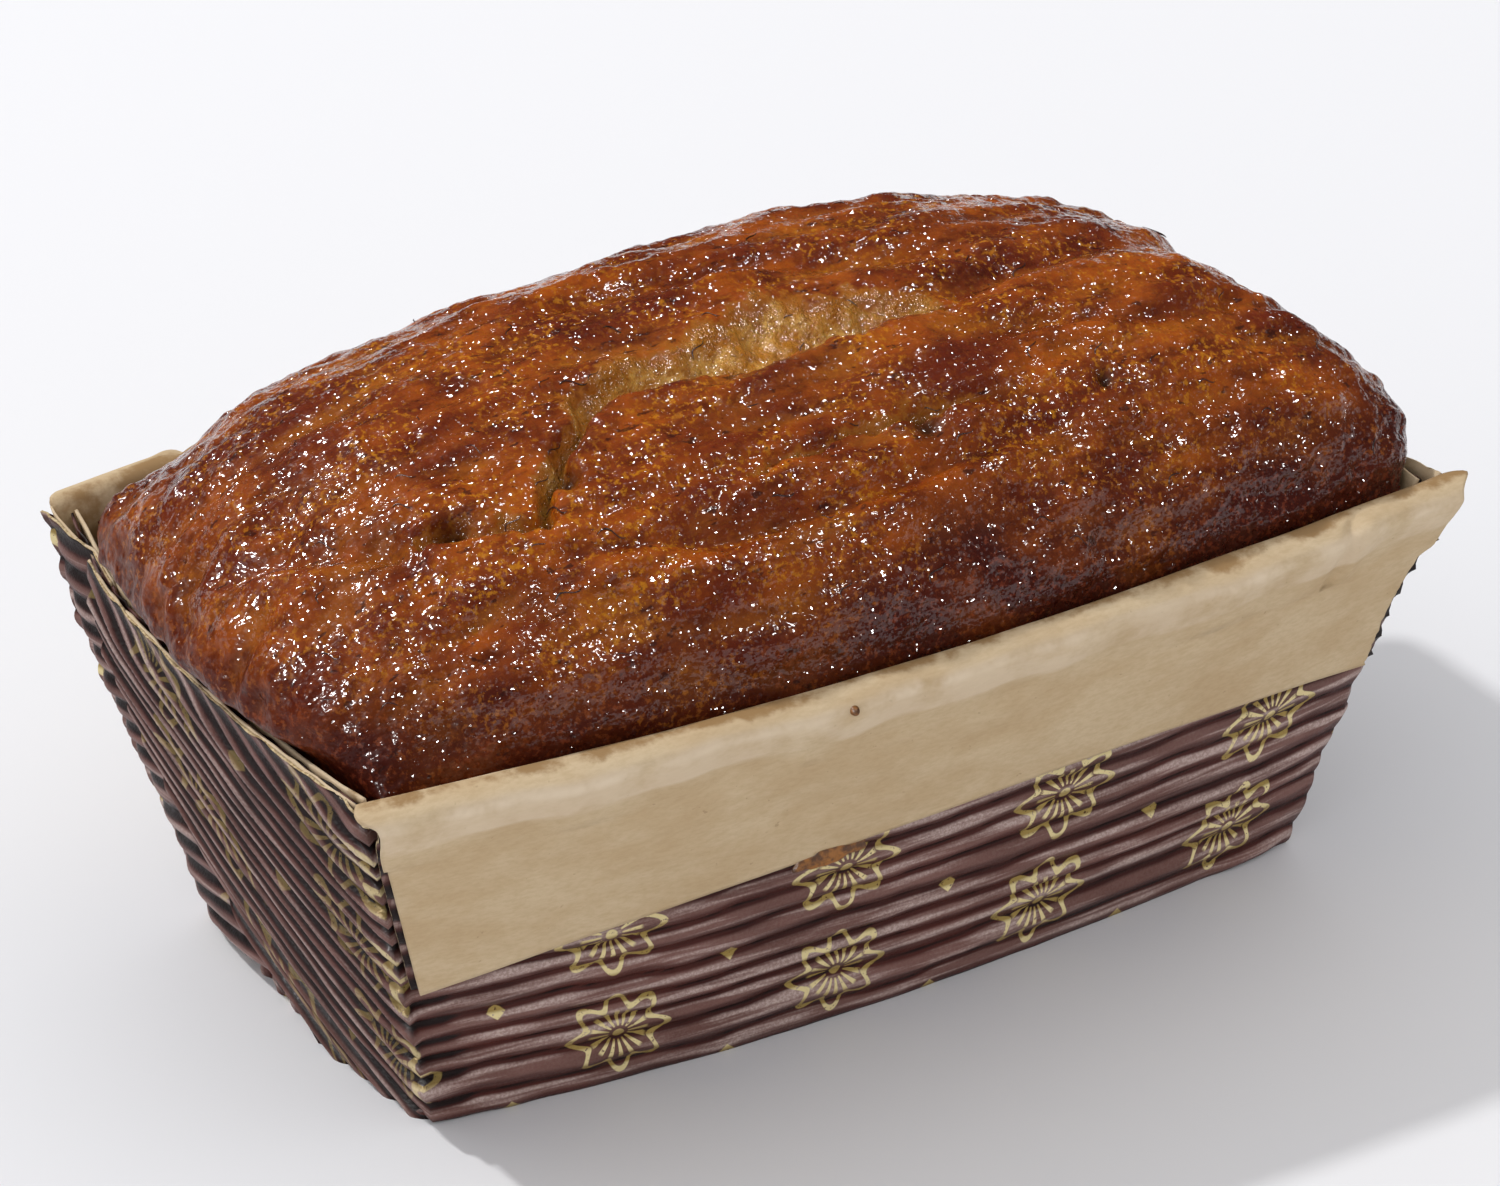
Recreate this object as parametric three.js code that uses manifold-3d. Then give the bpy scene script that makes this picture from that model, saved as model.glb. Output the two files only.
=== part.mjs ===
// Mini banana loaf cake in its own folded paper baking case. Millimetres, +Z up.
//
// The case stands on z = 0 with its long sides along X, and the origin is the middle of its footprint.
// It is one sheet of two glued plies: a smooth kraft liner inside, and a brown fluted ply outside.
// Both long rims are rolled outward, so the liner shows on the outside as two hanging cuffs.
// Each end is closed by a panel folded up from the bottom, a short wing from one long wall, and over
// both of them a longer wing from the other long wall.
// The case looks the same after half a turn about Z. So the near long side (y < 0) and the -X end are
// described here, and the far side and the +X end are those turned.

import * as THREE from "three";
import { mergeVertices } from "three/addons/utils/BufferGeometryUtils.js";
import Module from "manifold-3d";

// ---- Driving dimensions ----

// The glue plane is where the two plies meet. The case is measured on it, and LEAN is outward per mm up.
const HALF_WIDTH = { base: 22.6, lean: 0.21 }; // of the long walls, at their corners
const SHORT_CORNER = { base: 50.3, lean: 0.25 }; // the corner that the long wing folds round
const LONG_CORNER = { base: 54.0, lean: 0.22 }; // the corner that the short wing folds round
const WALL_BULGE = 4.1; // a long wall's bow, pushed out by the cake
const END_BULGE = { base: 2.0, lean: 0.045 }; // an end's bow, which grows towards the rim

const PAPER = 0.35; // fluted ply at a valley, with its glue line
const FLUTE_HEIGHT = 0.95;
const FLUTE_PITCH = 3.85;
const LINER = 0.45;
const GAP = 0.3; // between plies that touch

const FLOOR = PAPER + FLUTE_HEIGHT; // the bottom's glue plane stands on its flutes
const FOLD_HEIGHT = 48; // axis of the rolled rim
const ROLL_INSET = 1.35; // from the wall's glue plane out to that axis
const ROLL_RADIUS = 1.65; // inner radius of the liner there
const CORE_RADIUS = 1.2; // outer radius of the fluted ply there
const CORE = 0.9; // the fluted ply pressed flat inside the cuff

// A cuff's lower edge: its height at both ends and at its peak, which is a little past the middle.
const CUFF_LOW = { short: 22.8, peak: 29.6, long: 27.2, at: 0.3 };
// A cuff's side edges in X, at the lower edge and at the roll. The far cuff's are given before its half turn.
const NEAR_CUFF = { short: [-56.2, -64.1], long: [57.4, 67.6] };
const FAR_CUFF = { short: [-56.2, -64.1], long: [56.0, 63.6] };

// An end's top edge is lowest where the wings meet, at this share of its width.
const END_RIM = { corner: 49.2, dip: 46, at: 0.78 };

// A wing reaches over a share of the end's width, and its flutes climb by rise over the whole width.
const LONG_WING = { reach: 0.78, rise: 5.5, swing: -0.9 };
const SHORT_WING = { tucked: 0.19, reach: 0.26, rise: 14, corner: -1.2, inner: 0.85 };
const END_PANEL = {
  flutes: 12,
  foot: -0.05, // depths behind the end's glue plane: of the foot's valleys,
  outer: 0.2, // of the flat part's outer face
  inner: 0.55, // and of its inner face
  tucked: 0.5, // height that is hidden behind the long wing's lower edge before the fold
  step: 0.9, // height of that fold
  top: 42.5,
  reach: 0.7,
};
const END_LINER = 1.2; // depth of the liner's outer face

const LOAF = {
  clearance: 1.1, // inside the long walls' glue plane
  endClearance: END_LINER + LINER + GAP + 0.05,
  bottom: FLOOR + GAP + LINER + GAP,
  shoulder: 47.2, // where the top crust starts
  crown: 25.5, // its rise above the shoulder
  overhang: 9, // height over which its sides go on leaning out above the shoulder
  cornerRound: 0.16, // 0 keeps the corners square, 1 makes the plan an ellipse
};

const up = (base, z) => base.base + base.lean * z;
const lerp = (a, b, t) => a + (b - a) * t;
const clamp = (x, low, high) => Math.min(high, Math.max(low, x));
const steps = (count, from = 0, to = 1) =>
  Array.from({ length: count + 1 }, (_, i) => lerp(from, to, i / count));
const bell = (x, middle, width) => Math.exp(-(((x - middle) / width) ** 2));
const turned = (p) => new THREE.Vector3(-p.x, -p.y, p.z);

// ---- The case's surfaces ----

// Near long wall's glue plane: w runs from -1 at the short corner (-X) to 1 at the long corner (+X).
function wallPoint(w, z) {
  const x = lerp(-up(SHORT_CORNER, z), up(LONG_CORNER, z), (w + 1) / 2);
  const bulge = WALL_BULGE * (1 - w * w) * (1 - 0.12 * w);
  return new THREE.Vector3(x, -up(HALF_WIDTH, z) - bulge, z);
}

// The -X end: v runs from 0 at the near corner to 1 at the far corner, and depth is inward.
function endPoint(v, z, depth) {
  const near = up(SHORT_CORNER, z);
  const far = up(LONG_CORNER, z) + SHORT_WING.corner;
  const bulge = up(END_BULGE, z) * 4 * v * (1 - v);
  const y = lerp(-1, 1, v) * up(HALF_WIDTH, z);
  return new THREE.Vector3(-lerp(near, far, v) - bulge + depth, y, z);
}

// The +X end at the same share v of the width.
const farEndPoint = (v, z, depth) => turned(endPoint(1 - v, z, depth));

// Height of an end's top edge.
function endRim(v) {
  const share = v < END_RIM.at ? v / END_RIM.at : (1 - v) / (1 - END_RIM.at);
  return lerp(END_RIM.corner, END_RIM.dip, clamp(share, 0, 1));
}

// ---- Meshes ----

// A closed sheet between two grids of points. Both have the same number of columns, and their rows may
// differ: the side edges are then stitched along the shorter diagonals.
function closedSheet(front, back) {
  const columns = front[0].length;
  const points = [...front.flat(), ...back.flat()];
  const f = (row, column) => row * columns + column;
  const b = (row, column) => (front.length + row) * columns + column;
  const faces = [];
  const quad = (p, q, r, s) => faces.push(p, q, r, p, r, s);
  for (let c = 0; c + 1 < columns; c++) {
    for (let r = 0; r + 1 < front.length; r++)
      quad(f(r, c), f(r, c + 1), f(r + 1, c + 1), f(r + 1, c));
    for (let r = 0; r + 1 < back.length; r++)
      quad(b(r, c), b(r + 1, c), b(r + 1, c + 1), b(r, c + 1));
    quad(f(0, c + 1), f(0, c), b(0, c), b(0, c + 1));
    const [top, backTop] = [front.length - 1, back.length - 1];
    quad(f(top, c), f(top, c + 1), b(backTop, c + 1), b(backTop, c));
  }
  for (const [c, flip] of [[0, false], [columns - 1, true]]) {
    let [i, j] = [0, 0];
    while (i + 1 < front.length || j + 1 < back.length) {
      const onFront = i + 1 < front.length ? front[i + 1][c].distanceTo(back[j][c]) : Infinity;
      const onBack = j + 1 < back.length ? front[i][c].distanceTo(back[j + 1][c]) : Infinity;
      const face = onFront <= onBack ? [f(i, c), f(i + 1, c), b(j, c)] : [f(i, c), b(j + 1, c), b(j, c)];
      faces.push(...(flip ? face.reverse() : face));
      if (onFront <= onBack) i++;
      else j++;
    }
  }
  return solidFrom(points, faces);
}

// A closed solid from points and triangles, turned to face outward.
function solidFrom(points, faces) {
  let volume = 0;
  for (let i = 0; i < faces.length; i += 3) {
    const [a, b, c] = [points[faces[i]], points[faces[i + 1]], points[faces[i + 2]]];
    volume += a.dot(new THREE.Vector3().crossVectors(b, c));
  }
  const geometry = new THREE.BufferGeometry().setFromPoints(points);
  geometry.setIndex(volume < 0 ? [...faces].reverse() : faces);
  return solidOf(geometry);
}

const wasm = await Module();
wasm.setup();

function solidOf(geometry) {
  const bare = geometry.clone();
  bare.deleteAttribute("normal");
  bare.deleteAttribute("uv");
  const merged = mergeVertices(bare, 1e-4);
  return new wasm.Manifold(
    new wasm.Mesh({
      numProp: 3,
      vertProperties: merged.attributes.position.array,
      triVerts: new Uint32Array(merged.index.array),
    }),
  );
}

function geometryOf(solid) {
  const { vertProperties, triVerts } = solid.getMesh();
  const geometry = new THREE.BufferGeometry();
  geometry.setAttribute("position", new THREE.BufferAttribute(vertProperties, 3));
  geometry.setIndex(new THREE.BufferAttribute(triVerts, 1));
  const faceted = geometry.toNonIndexed();
  faceted.computeVertexNormals();
  return faceted;
}

const joined = (solids) => solids.reduce((all, next) => all.add(next));

function turnedSolid(solid) {
  return solidOf(geometryOf(solid).applyMatrix4(new THREE.Matrix4().makeRotationZ(Math.PI)));
}

// ---- Fluted ply ----

// One flute's section: its share of the pitch, and the share of the full height there.
const ROUND_FLUTE = [[0, 0], [0.22, 0.8], [0.5, 1], [0.78, 0.8]];
const FLAT_FLUTE = [[0, 0], [0.2, 1], [0.5, 1], [0.8, 1]];

function fluteRows(section, count) {
  const rows = [];
  for (let k = 0; k < count; k++)
    for (const [share, height] of section) rows.push({ at: k + share, height: height * FLUTE_HEIGHT });
  rows.push({ at: count, height: 0 });
  return rows;
}

// A long wall with its wings is one strip: down the long wing to the short corner, along the wall, round
// the long corner and into the short wing. rise lifts the flutes, which climb along a wing.
function wallStations() {
  const longWing = steps(4, LONG_WING.reach, 0).slice(0, -1).map((v) => ({
    rise: LONG_WING.rise * v,
    point: (z) => endPoint(v, z, (LONG_WING.swing * v) / LONG_WING.reach),
  }));
  const wall = steps(10, -1, 1).map((w) => ({ rise: 0, point: (z) => wallPoint(w, z) }));
  const { corner, inner, tucked, reach } = SHORT_WING;
  const shortWing = [tucked, reach].map((v) => ({
    rise: SHORT_WING.rise * v,
    point: (z) => farEndPoint(v, z, lerp(corner, inner, clamp(v / tucked, 0, 1))),
  }));
  return [...longWing, ...wall, ...shortWing];
}

// Points of one row of the strip, moved out of the glue plane by height, with mitred corners.
function stripRow(stations, z, height) {
  const points = stations.map(({ rise, point }) => point(z + rise));
  return points.map((p, i) => {
    const before = points[Math.max(i - 1, 0)];
    const after = points[Math.min(i + 1, points.length - 1)];
    const normals = [[before, p], [p, after]]
      .filter(([a, b]) => a !== b)
      .map(([a, b]) => new THREE.Vector3(b.y - a.y, a.x - b.x, 0).normalize());
    const mitre = normals.reduce((sum, n) => sum.add(n), new THREE.Vector3()).normalize();
    return p.clone().addScaledVector(mitre, height / mitre.dot(normals[0]));
  });
}

// Everything above a line drawn on the YZ plane, over a stretch of X.
function above(line, fromX, toX) {
  const [first, last] = [line[0], line[line.length - 1]];
  const outline = [...line, [last[0], 90], [first[0], 90]].map(([y, z]) => new THREE.Vector2(y, z));
  const geometry = new THREE.ExtrudeGeometry(new THREE.Shape(outline), {
    depth: toX - fromX,
    bevelEnabled: false,
  });
  const axes = [new THREE.Vector3(0, 1, 0), new THREE.Vector3(0, 0, 1), new THREE.Vector3(1, 0, 0)];
  geometry.applyMatrix4(new THREE.Matrix4().makeBasis(...axes).setPosition(fromX, 0, 0));
  return solidOf(geometry);
}

function wallStrip() {
  const stations = wallStations();
  const flutes = 14;
  const outer = fluteRows(ROUND_FLUTE, flutes).map(({ at, height }) =>
    stripRow(stations, at * FLUTE_PITCH, PAPER + height),
  );
  const inner = steps(flutes, 0, flutes * FLUTE_PITCH).map((z) => stripRow(stations, z, 0));
  const rimY = -up(HALF_WIDTH, FOLD_HEIGHT);
  const wallTop = [[rimY - 30, FOLD_HEIGHT], [rimY - 1, FOLD_HEIGHT]];
  const endTop = (v) => [lerp(rimY, -rimY, v), endRim(v)];
  const longEnd = [...wallTop, endTop(0), endTop(END_RIM.at), [60, END_RIM.dip]];
  const shortEnd = [...wallTop, endTop(0), endTop(1 - END_RIM.at), [60, END_RIM.dip]];
  return closedSheet(outer, inner)
    .subtract(above(longEnd, -90, 0))
    .subtract(above(shortEnd, 0, 90));
}

// The ply goes on over the rolled rim and down inside the cuff, where it is pressed flat.
function cuffCore(edges) {
  const path = (w, out) => {
    const radius = CORE_RADIUS - out;
    const axis = (z) => wallPoint(w, z).y - ROLL_INSET;
    const inside = [FOLD_HEIGHT - 0.5, FOLD_HEIGHT].map((z) => [axis(z) + radius, z]);
    const over = steps(6, 0, Math.PI).slice(1, -1).map((angle) => [
      axis(FOLD_HEIGHT) + radius * Math.cos(angle),
      FOLD_HEIGHT + radius * Math.sin(angle),
    ]);
    const hanging = [FOLD_HEIGHT, cuffLow(w) + GAP].map((z) => [axis(z) - radius, z]);
    return [...inside, ...over, ...hanging];
  };
  const columns = steps(10, -0.995, 0.995);
  const grid = (out) => {
    const paths = columns.map((w) => path(w, out));
    return paths[0].map((_, row) =>
      columns.map((w, c) => {
        const [y, z] = paths[c][row];
        const [short, long] = cuffSides(edges, z, w);
        const x = row < 2 ? wallPoint(w, z).x : lerp(short + 0.6, Math.min(long, 64.4), (w + 1) / 2);
        return new THREE.Vector3(x, y, z);
      }),
    );
  };
  return closedSheet(grid(0), grid(CORE));
}

function bottom() {
  const columns = steps(10, -1, 1);
  const depth = -0.3;
  const reach = 0.9; // into the walls' lowest flute
  const point = (w, v, z) => {
    const near = wallPoint(w, 0).y - reach;
    const far = -wallPoint(-w, 0).y + reach;
    const x = lerp(endPoint(v, 0, depth).x, farEndPoint(v, 0, depth).x, (w + 1) / 2);
    return new THREE.Vector3(x, lerp(near, far, v), z);
  };
  const flutes = 12;
  const lower = fluteRows(FLAT_FLUTE, flutes).map(({ at, height }) =>
    columns.map((w) => point(w, at / flutes, FLUTE_HEIGHT - height)),
  );
  const upper = steps(flutes).map((v) => columns.map((w) => point(w, v, FLOOR)));
  return closedSheet(lower, upper);
}

// Height of the wings' lower edge, which climbs with their flutes.
const wingFoot = (v) => Math.min(LONG_WING.rise * v, SHORT_WING.rise * (1 - v));

// The end panel is pressed flat behind the long wing. Only its foot, with upright flutes, shows below.
function endPanel() {
  const { flutes, foot, tucked, outer, inner, step, top, reach } = END_PANEL;
  const shares = (at) => lerp(0.014, 0.986, at);
  const heights = (v) => {
    const edge = wingFoot(v) + tucked;
    return [0, edge, edge + step, v < reach ? top : edge + 2 * step];
  };
  const front = fluteRows(ROUND_FLUTE, flutes).map(({ at, height }) => {
    const v = shares(at / flutes);
    return heights(v).map((z, i) => endPoint(v, z, i < 2 ? foot - height : outer));
  });
  const back = front.map((_, row) => shares(row / (front.length - 1)))
    .filter((_, row) => row % 4 === 0)
    .map((v) => heights(v).map((z) => endPoint(v, z, inner)));
  return closedSheet(front, back);
}

function flutedPly() {
  const side = wallStrip().add(endPanel());
  return joined([side, cuffCore(NEAR_CUFF), turnedSolid(side.add(cuffCore(FAR_CUFF))), bottom()]);
}

// ---- Kraft liner ----

function cuffLow(w) {
  const [end, low] = w < CUFF_LOW.at ? [-1, CUFF_LOW.short] : [1, CUFF_LOW.long];
  return lerp(CUFF_LOW.peak, low, clamp((w - CUFF_LOW.at) / (end - CUFF_LOW.at), 0, 1) ** 2);
}

// A cuff's side edges at height z, measured from its own low edge at w.
function cuffSides(edges, z, w) {
  const share = clamp((z - cuffLow(w)) / (FOLD_HEIGHT - cuffLow(w)), 0, 1);
  return [lerp(...edges.short, share), lerp(...edges.long, share ** 1.6)];
}

// From the near cuff's low edge up over the roll, down inside the wall and out to the floor's middle.
function linerPath(w, thick) {
  const rim = wallPoint(w, FOLD_HEIGHT).y;
  const cuff = [0, 0.5, 1].map((t) => {
    const z = lerp(cuffLow(w), FOLD_HEIGHT, t);
    return { y: wallPoint(w, z).y - ROLL_INSET - ROLL_RADIUS - thick, z, part: "cuff" };
  });
  const radius = ROLL_RADIUS + thick;
  const roll = steps(8, Math.PI, 0).slice(1, -1).map((angle) => ({
    y: rim - ROLL_INSET + radius * Math.cos(angle),
    z: FOLD_HEIGHT + radius * Math.sin(angle),
    part: angle > Math.PI * 0.55 ? "cuff" : "wall",
  }));
  const floor = FLOOR + GAP + thick;
  const wall = [FOLD_HEIGHT, FOLD_HEIGHT / 2, floor].map((z) => ({
    y: wallPoint(w, z).y + GAP + thick,
    z,
    part: "wall",
  }));
  return [...cuff, ...roll, ...wall];
}

function linerColumn(edges, w, { y, z, part }) {
  if (part === "cuff") {
    const [short, long] = cuffSides(edges, z, w);
    return new THREE.Vector3(lerp(short, long, (w + 1) / 2), y, z);
  }
  const v = clamp((y / up(HALF_WIDTH, z) + 1) / 2, 0, 1);
  const depth = END_LINER + LINER / 2;
  const ends = [endPoint(v, z, depth).x, farEndPoint(v, z, depth).x];
  return new THREE.Vector3(lerp(...ends, (w + 1) / 2), y, z);
}

function linerChannel() {
  const columns = steps(12, -1, 1);
  const side = (edges, thick) => {
    const paths = columns.map((w) => linerPath(w, thick));
    return paths[0].map((_, row) => columns.map((w, c) => linerColumn(edges, w, paths[c][row])));
  };
  const grid = (thick) => {
    const far = side(FAR_CUFF, thick).map((row) => row.map(turned).reverse()).reverse();
    return [...side(NEAR_CUFF, thick), ...far];
  };
  return closedSheet(grid(0), grid(LINER));
}

function endLiner() {
  const columns = [0.012, 0.15, 0.3, 0.5, 0.65, END_RIM.at, 0.9, 0.988];
  const low = FLOOR + GAP;
  const grid = (depth) =>
    [0, 0.5, 1].map((t) => columns.map((v) => endPoint(v, lerp(low, endRim(v) - 0.2, t), depth)));
  return closedSheet(grid(END_LINER), grid(END_LINER + LINER));
}

function kraftLiner() {
  return joined([linerChannel(), endLiner(), turnedSolid(endLiner())]);
}

// ---- Loaf ----

// The loaf's section at height z: a and b run from -1 to 1 along X and Y.
function loafPlan(a, b, z) {
  const round = LOAF.cornerRound;
  const w = a * Math.sqrt(1 - (round * b * b) / 2);
  const side = b * Math.sqrt(1 - (round * a * a) / 2);
  const v = (side + 1) / 2;
  const ends = [endPoint(v, z, LOAF.endClearance).x, farEndPoint(v, z, LOAF.endClearance).x];
  const near = wallPoint(w, z).y + LOAF.clearance;
  const far = -wallPoint(-w, z).y - LOAF.clearance;
  return new THREE.Vector2(lerp(...ends, (w + 1) / 2), lerp(near, far, v));
}

// The top crust's form before its folds: a steep-shouldered dome, whose far shoulder falls off early at
// the right.
function domeShare(a, b) {
  const farRight = a > 0 ? clamp((b + 0.3) / 0.5, 0, 1) : 0;
  const left = clamp(-2 * a, 0, 1);
  const along = (1 - Math.abs(a) ** lerp(4.6 - 1.1 * left, 3.1, farRight)) ** lerp(0.5, 0.66, farRight);
  const across = (1 - Math.abs(b) ** 2.3) ** 0.64;
  return along * across;
}

// Folds, lips and cracks of the crust, in mm above the dome. x and y are in mm.
function crustRelief(x, y) {
  const frontLobe = 1.0 * bell(y, -19, 7) * bell(x, 22, 40);
  const crackLine = -7.5 + 0.0022 * (x + 4) ** 2;
  const mainCrack = -3.4 * bell(y, crackLine + 1.5, 3.2) * bell(x, -4, 24);
  const farLobe = 1.8 * bell(y, 13, 9) * bell(x, 6, 44);
  const secondCrack = -2.2 * bell(y, -18.5 + 0.03 * (x + 40), 2.6) * bell(x, -38, 10);
  const thirdCrack = -1.8 * bell(y, -26.5 + 0.1 * (x - 4), 2.4) * bell(x, 5, 9);
  const saddle = -4.6 * bell(x, 58, 7) * bell(y, -6, 6);
  const longFold = -1.0 * bell(y, -25 - 0.06 * x, 2.6) * bell(x, -16, 30);
  const farFold = -1.1 * bell(y, 4 + 0.05 * x, 3.2) * bell(x, 18, 26);
  const leftDent = -1.5 * bell(x, -52, 5) * bell(y, -2, 8);
  const unevenness = 0.35 * Math.sin(0.31 * x + 1.7) * Math.sin(0.43 * y + 0.6);
  const cracks = mainCrack + secondCrack + thirdCrack;
  const folds = frontLobe + farLobe + longFold + farFold;
  return cracks + folds + saddle + leftDent + unevenness;
}

function loafTop(a, b) {
  const share = domeShare(a, b);
  const rise = LOAF.crown * share;
  const plan = loafPlan(a, b, LOAF.shoulder + Math.min(rise, LOAF.overhang));
  const relief = crustRelief(plan.x, plan.y) * clamp(share * 1.6, 0, 1);
  return new THREE.Vector3(plan.x, plan.y, LOAF.shoulder + rise + relief);
}

function loaf() {
  const spaced = (count) =>
    steps(count, -1, 1).map((t) => lerp(t, Math.sin((t * Math.PI) / 2), 0.55));
  const [along, across] = [spaced(42), spaced(22)];
  const points = [];
  const faces = [];
  const add = (x, y, z) => points.push(new THREE.Vector3(x, y, z)) - 1;
  const top = across.map((b) => along.map((a) => points.push(loafTop(a, b)) - 1));
  for (let r = 0; r + 1 < across.length; r++)
    for (let c = 0; c + 1 < along.length; c++) {
      const [p, q, s, t] = [top[r][c], top[r][c + 1], top[r + 1][c + 1], top[r + 1][c]];
      faces.push(p, q, s, p, s, t);
    }
  const [lastRow, lastColumn] = [across.length - 1, along.length - 1];
  const rim = [
    ...along.slice(0, -1).map((a, c) => ({ a, b: -1, index: top[0][c] })),
    ...across.slice(0, -1).map((b, r) => ({ a: 1, b, index: top[r][lastColumn] })),
    ...along.slice(1).map((a, c) => ({ a, b: 1, index: top[lastRow][c + 1] })).reverse(),
    ...across.slice(1).map((b, r) => ({ a: -1, b, index: top[r + 1][0] })).reverse(),
  ];
  let ring = rim.map(({ index }) => index);
  for (const [z, inset] of [[LOAF.shoulder - 22, 1], [LOAF.bottom + 1.2, 1], [LOAF.bottom, 0.98]]) {
    const next = rim.map(({ a, b }) => {
      const plan = loafPlan(a, b, z);
      return add(plan.x * inset, plan.y * inset, z);
    });
    ring.forEach((index, i) => {
      const j = (i + 1) % ring.length;
      faces.push(next[i], next[j], ring[j], next[i], ring[j], index);
    });
    ring = next;
  }
  const middle = add(0, 0, LOAF.bottom);
  ring.forEach((index, i) => faces.push(ring[(i + 1) % ring.length], index, middle));
  return solidFrom(points, faces);
}

// ---- The object ----

function named(name, solid, colour, roughness) {
  const material = new THREE.MeshStandardMaterial({ color: colour, roughness, metalness: 0 });
  const mesh = new THREE.Mesh(geometryOf(solid), material);
  mesh.name = name;
  return mesh;
}

const miniLoaf = new THREE.Group();
miniLoaf.add(
  named("loaf", loaf(), "#8a4312", 0.35),
  named("kraft_liner", kraftLiner(), "#bea27a", 0.85),
  named("fluted_ply", flutedPly(), "#46302f", 0.5),
);

export default miniLoaf;
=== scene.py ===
"""Mini banana loaf in its own folded paper baking case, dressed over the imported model.

Lengths are in millimetres until a mesh is made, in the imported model's frame: +X along the loaf, +Y away
from the camera, +Z up. The case looks the same after half a turn about Z, so its near long side and its -X
end are described, and the far side and the +X end are those turned.
"""

import math

import bpy
import numpy as np
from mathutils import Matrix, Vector, noise


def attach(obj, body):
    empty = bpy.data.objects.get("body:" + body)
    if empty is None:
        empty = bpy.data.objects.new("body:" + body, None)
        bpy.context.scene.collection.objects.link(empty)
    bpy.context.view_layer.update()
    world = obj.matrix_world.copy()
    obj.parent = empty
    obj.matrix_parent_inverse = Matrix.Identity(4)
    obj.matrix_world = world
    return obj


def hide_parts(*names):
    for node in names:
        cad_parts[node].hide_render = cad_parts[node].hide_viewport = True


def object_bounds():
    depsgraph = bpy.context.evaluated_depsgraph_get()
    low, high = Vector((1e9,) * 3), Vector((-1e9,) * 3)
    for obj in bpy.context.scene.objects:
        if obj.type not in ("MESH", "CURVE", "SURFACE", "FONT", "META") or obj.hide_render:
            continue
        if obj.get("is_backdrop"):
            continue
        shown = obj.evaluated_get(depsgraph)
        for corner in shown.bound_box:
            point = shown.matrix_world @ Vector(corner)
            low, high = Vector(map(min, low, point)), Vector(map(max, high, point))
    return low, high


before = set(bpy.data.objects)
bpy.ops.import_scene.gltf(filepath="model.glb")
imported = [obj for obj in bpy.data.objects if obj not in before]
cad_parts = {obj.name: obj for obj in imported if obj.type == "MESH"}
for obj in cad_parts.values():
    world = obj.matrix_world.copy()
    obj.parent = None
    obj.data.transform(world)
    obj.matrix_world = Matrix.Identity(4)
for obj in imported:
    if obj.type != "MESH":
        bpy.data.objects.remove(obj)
cad_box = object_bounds()

MM = 0.001

# ---- Sizes of the case ----

# Outward position of a plane at the base, and how far it leans outward for each millimetre up.
HALF_WIDTH = (22.6, 0.21)
SHORT_CORNER = (50.3, 0.25)
LONG_CORNER = (54.0, 0.22)
WALL_BULGE = 4.1
END_BULGE = (2.0, 0.022)
SHORT_WING_STEP = -1.2

PAPER = 0.35
FLUTE_HEIGHT = 0.95
FLUTE_PITCH = 3.15  # of the walls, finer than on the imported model
# The bottom and the end panels, whose flutes stand upright, have the same number of flutes.
BASE_FLUTES = 12
BASE_PITCH = 3.85
BASE_FLUTE_HEIGHT = 0.945
CUFF_PITCH = 2.6  # where the ply is pressed flat inside the cuff
# How thick the ply and the kraft are drawn.
PLY_SHEET = 0.28
CHANNEL_SHEET = 0.4
END_SHEET = 0.35
WING_SHEET = 0.22
GAP = 0.3
LINER = 0.45
FLOOR = PAPER + FLUTE_HEIGHT
FOLD_HEIGHT = 48.0
CUFF_OUT = 3.45  # the hanging cuff's outer face, out from the wall's glue plane

CUFF_LOW = {"short": 22.8, "peak": 29.6, "long": 27.2, "at": 0.3}
NEAR_CUFF = {"short": (-55.8, -62.4), "long": (57.4, 65.6)}
FAR_CUFF = {"short": (-56.2, -62.9), "long": (56.0, 62.4)}
END_RIM = {"corner": 49.2, "dip": 47.0, "at": 0.78}
# Free edges of the wings, as shares of the end's width at shares of its height.
WING_LEVELS = [0, 0.1, 0.2, 0.4, 0.6, 0.8, 1]
LONG_WING = {"edge": [0.40, 0.52, 0.62, 0.76, 0.84, 0.87, 0.86], "rise": 34.0, "swing": -1.5}
SHORT_WING = {"tucked": [0.52, 0.42, 0.34, 0.2, 0.14, 0.12, 0.12], "rise": 7.0, "inner": 0.85, "foot": 2.5}
END_PANEL = {"foot": -0.05, "inner": 0.55, "tucked": 0.5, "step": 1.2}
END_LINER = 0.95  # how deep inside the end's glue plane its kraft lies
# The far left corner stands out further than the others: how far at each height.
CORNER_OUT = ([0, 5, 13, 28, 38, 48], [-0.3, 0.3, 0.5, 1.3, 1.7, 0.9])

# ---- Sizes of the loaf ----

LOAF_CLEARANCE = 1.1
LOAF_END_CLEARANCE = 2.0
LOAF_END_SWELL = 0.68  # how much less that is at the rim, where the crust has swelled against the paper
# And how far it swells out over the rim, above it: at the left end, and at the right end's near corner.
LEFT_SWELL = 2.9
RIGHT_SWELL = 2.4
LOAF_BOTTOM = FLOOR + GAP + LINER + GAP
# Heights down the loaf's side, and how wide it is there as a share of the case's section.
LOAF_SIDE = [(40, 1), (25, 1), (LOAF_BOTTOM + 1.2, 1), (LOAF_BOTTOM, 0.98)]
SHOULDER = 47.2
CROWN = 25.5
OVERHANG = 9.0
SHORT_CORNER_ROUND = 0.13
LONG_CORNER_ROUND = 0.03


# ---- Numbers ----


def up(line, z):
    base, lean = line
    return base + lean * z


def lerp(a, b, share):
    return a + (b - a) * share


def smooth(low, high, x):
    """0 below low, 1 above high and an S-curve between. low may be the larger one."""
    share = np.clip((x - low) / (high - low), 0, 1)
    return share * share * (3 - 2 * share)


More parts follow.
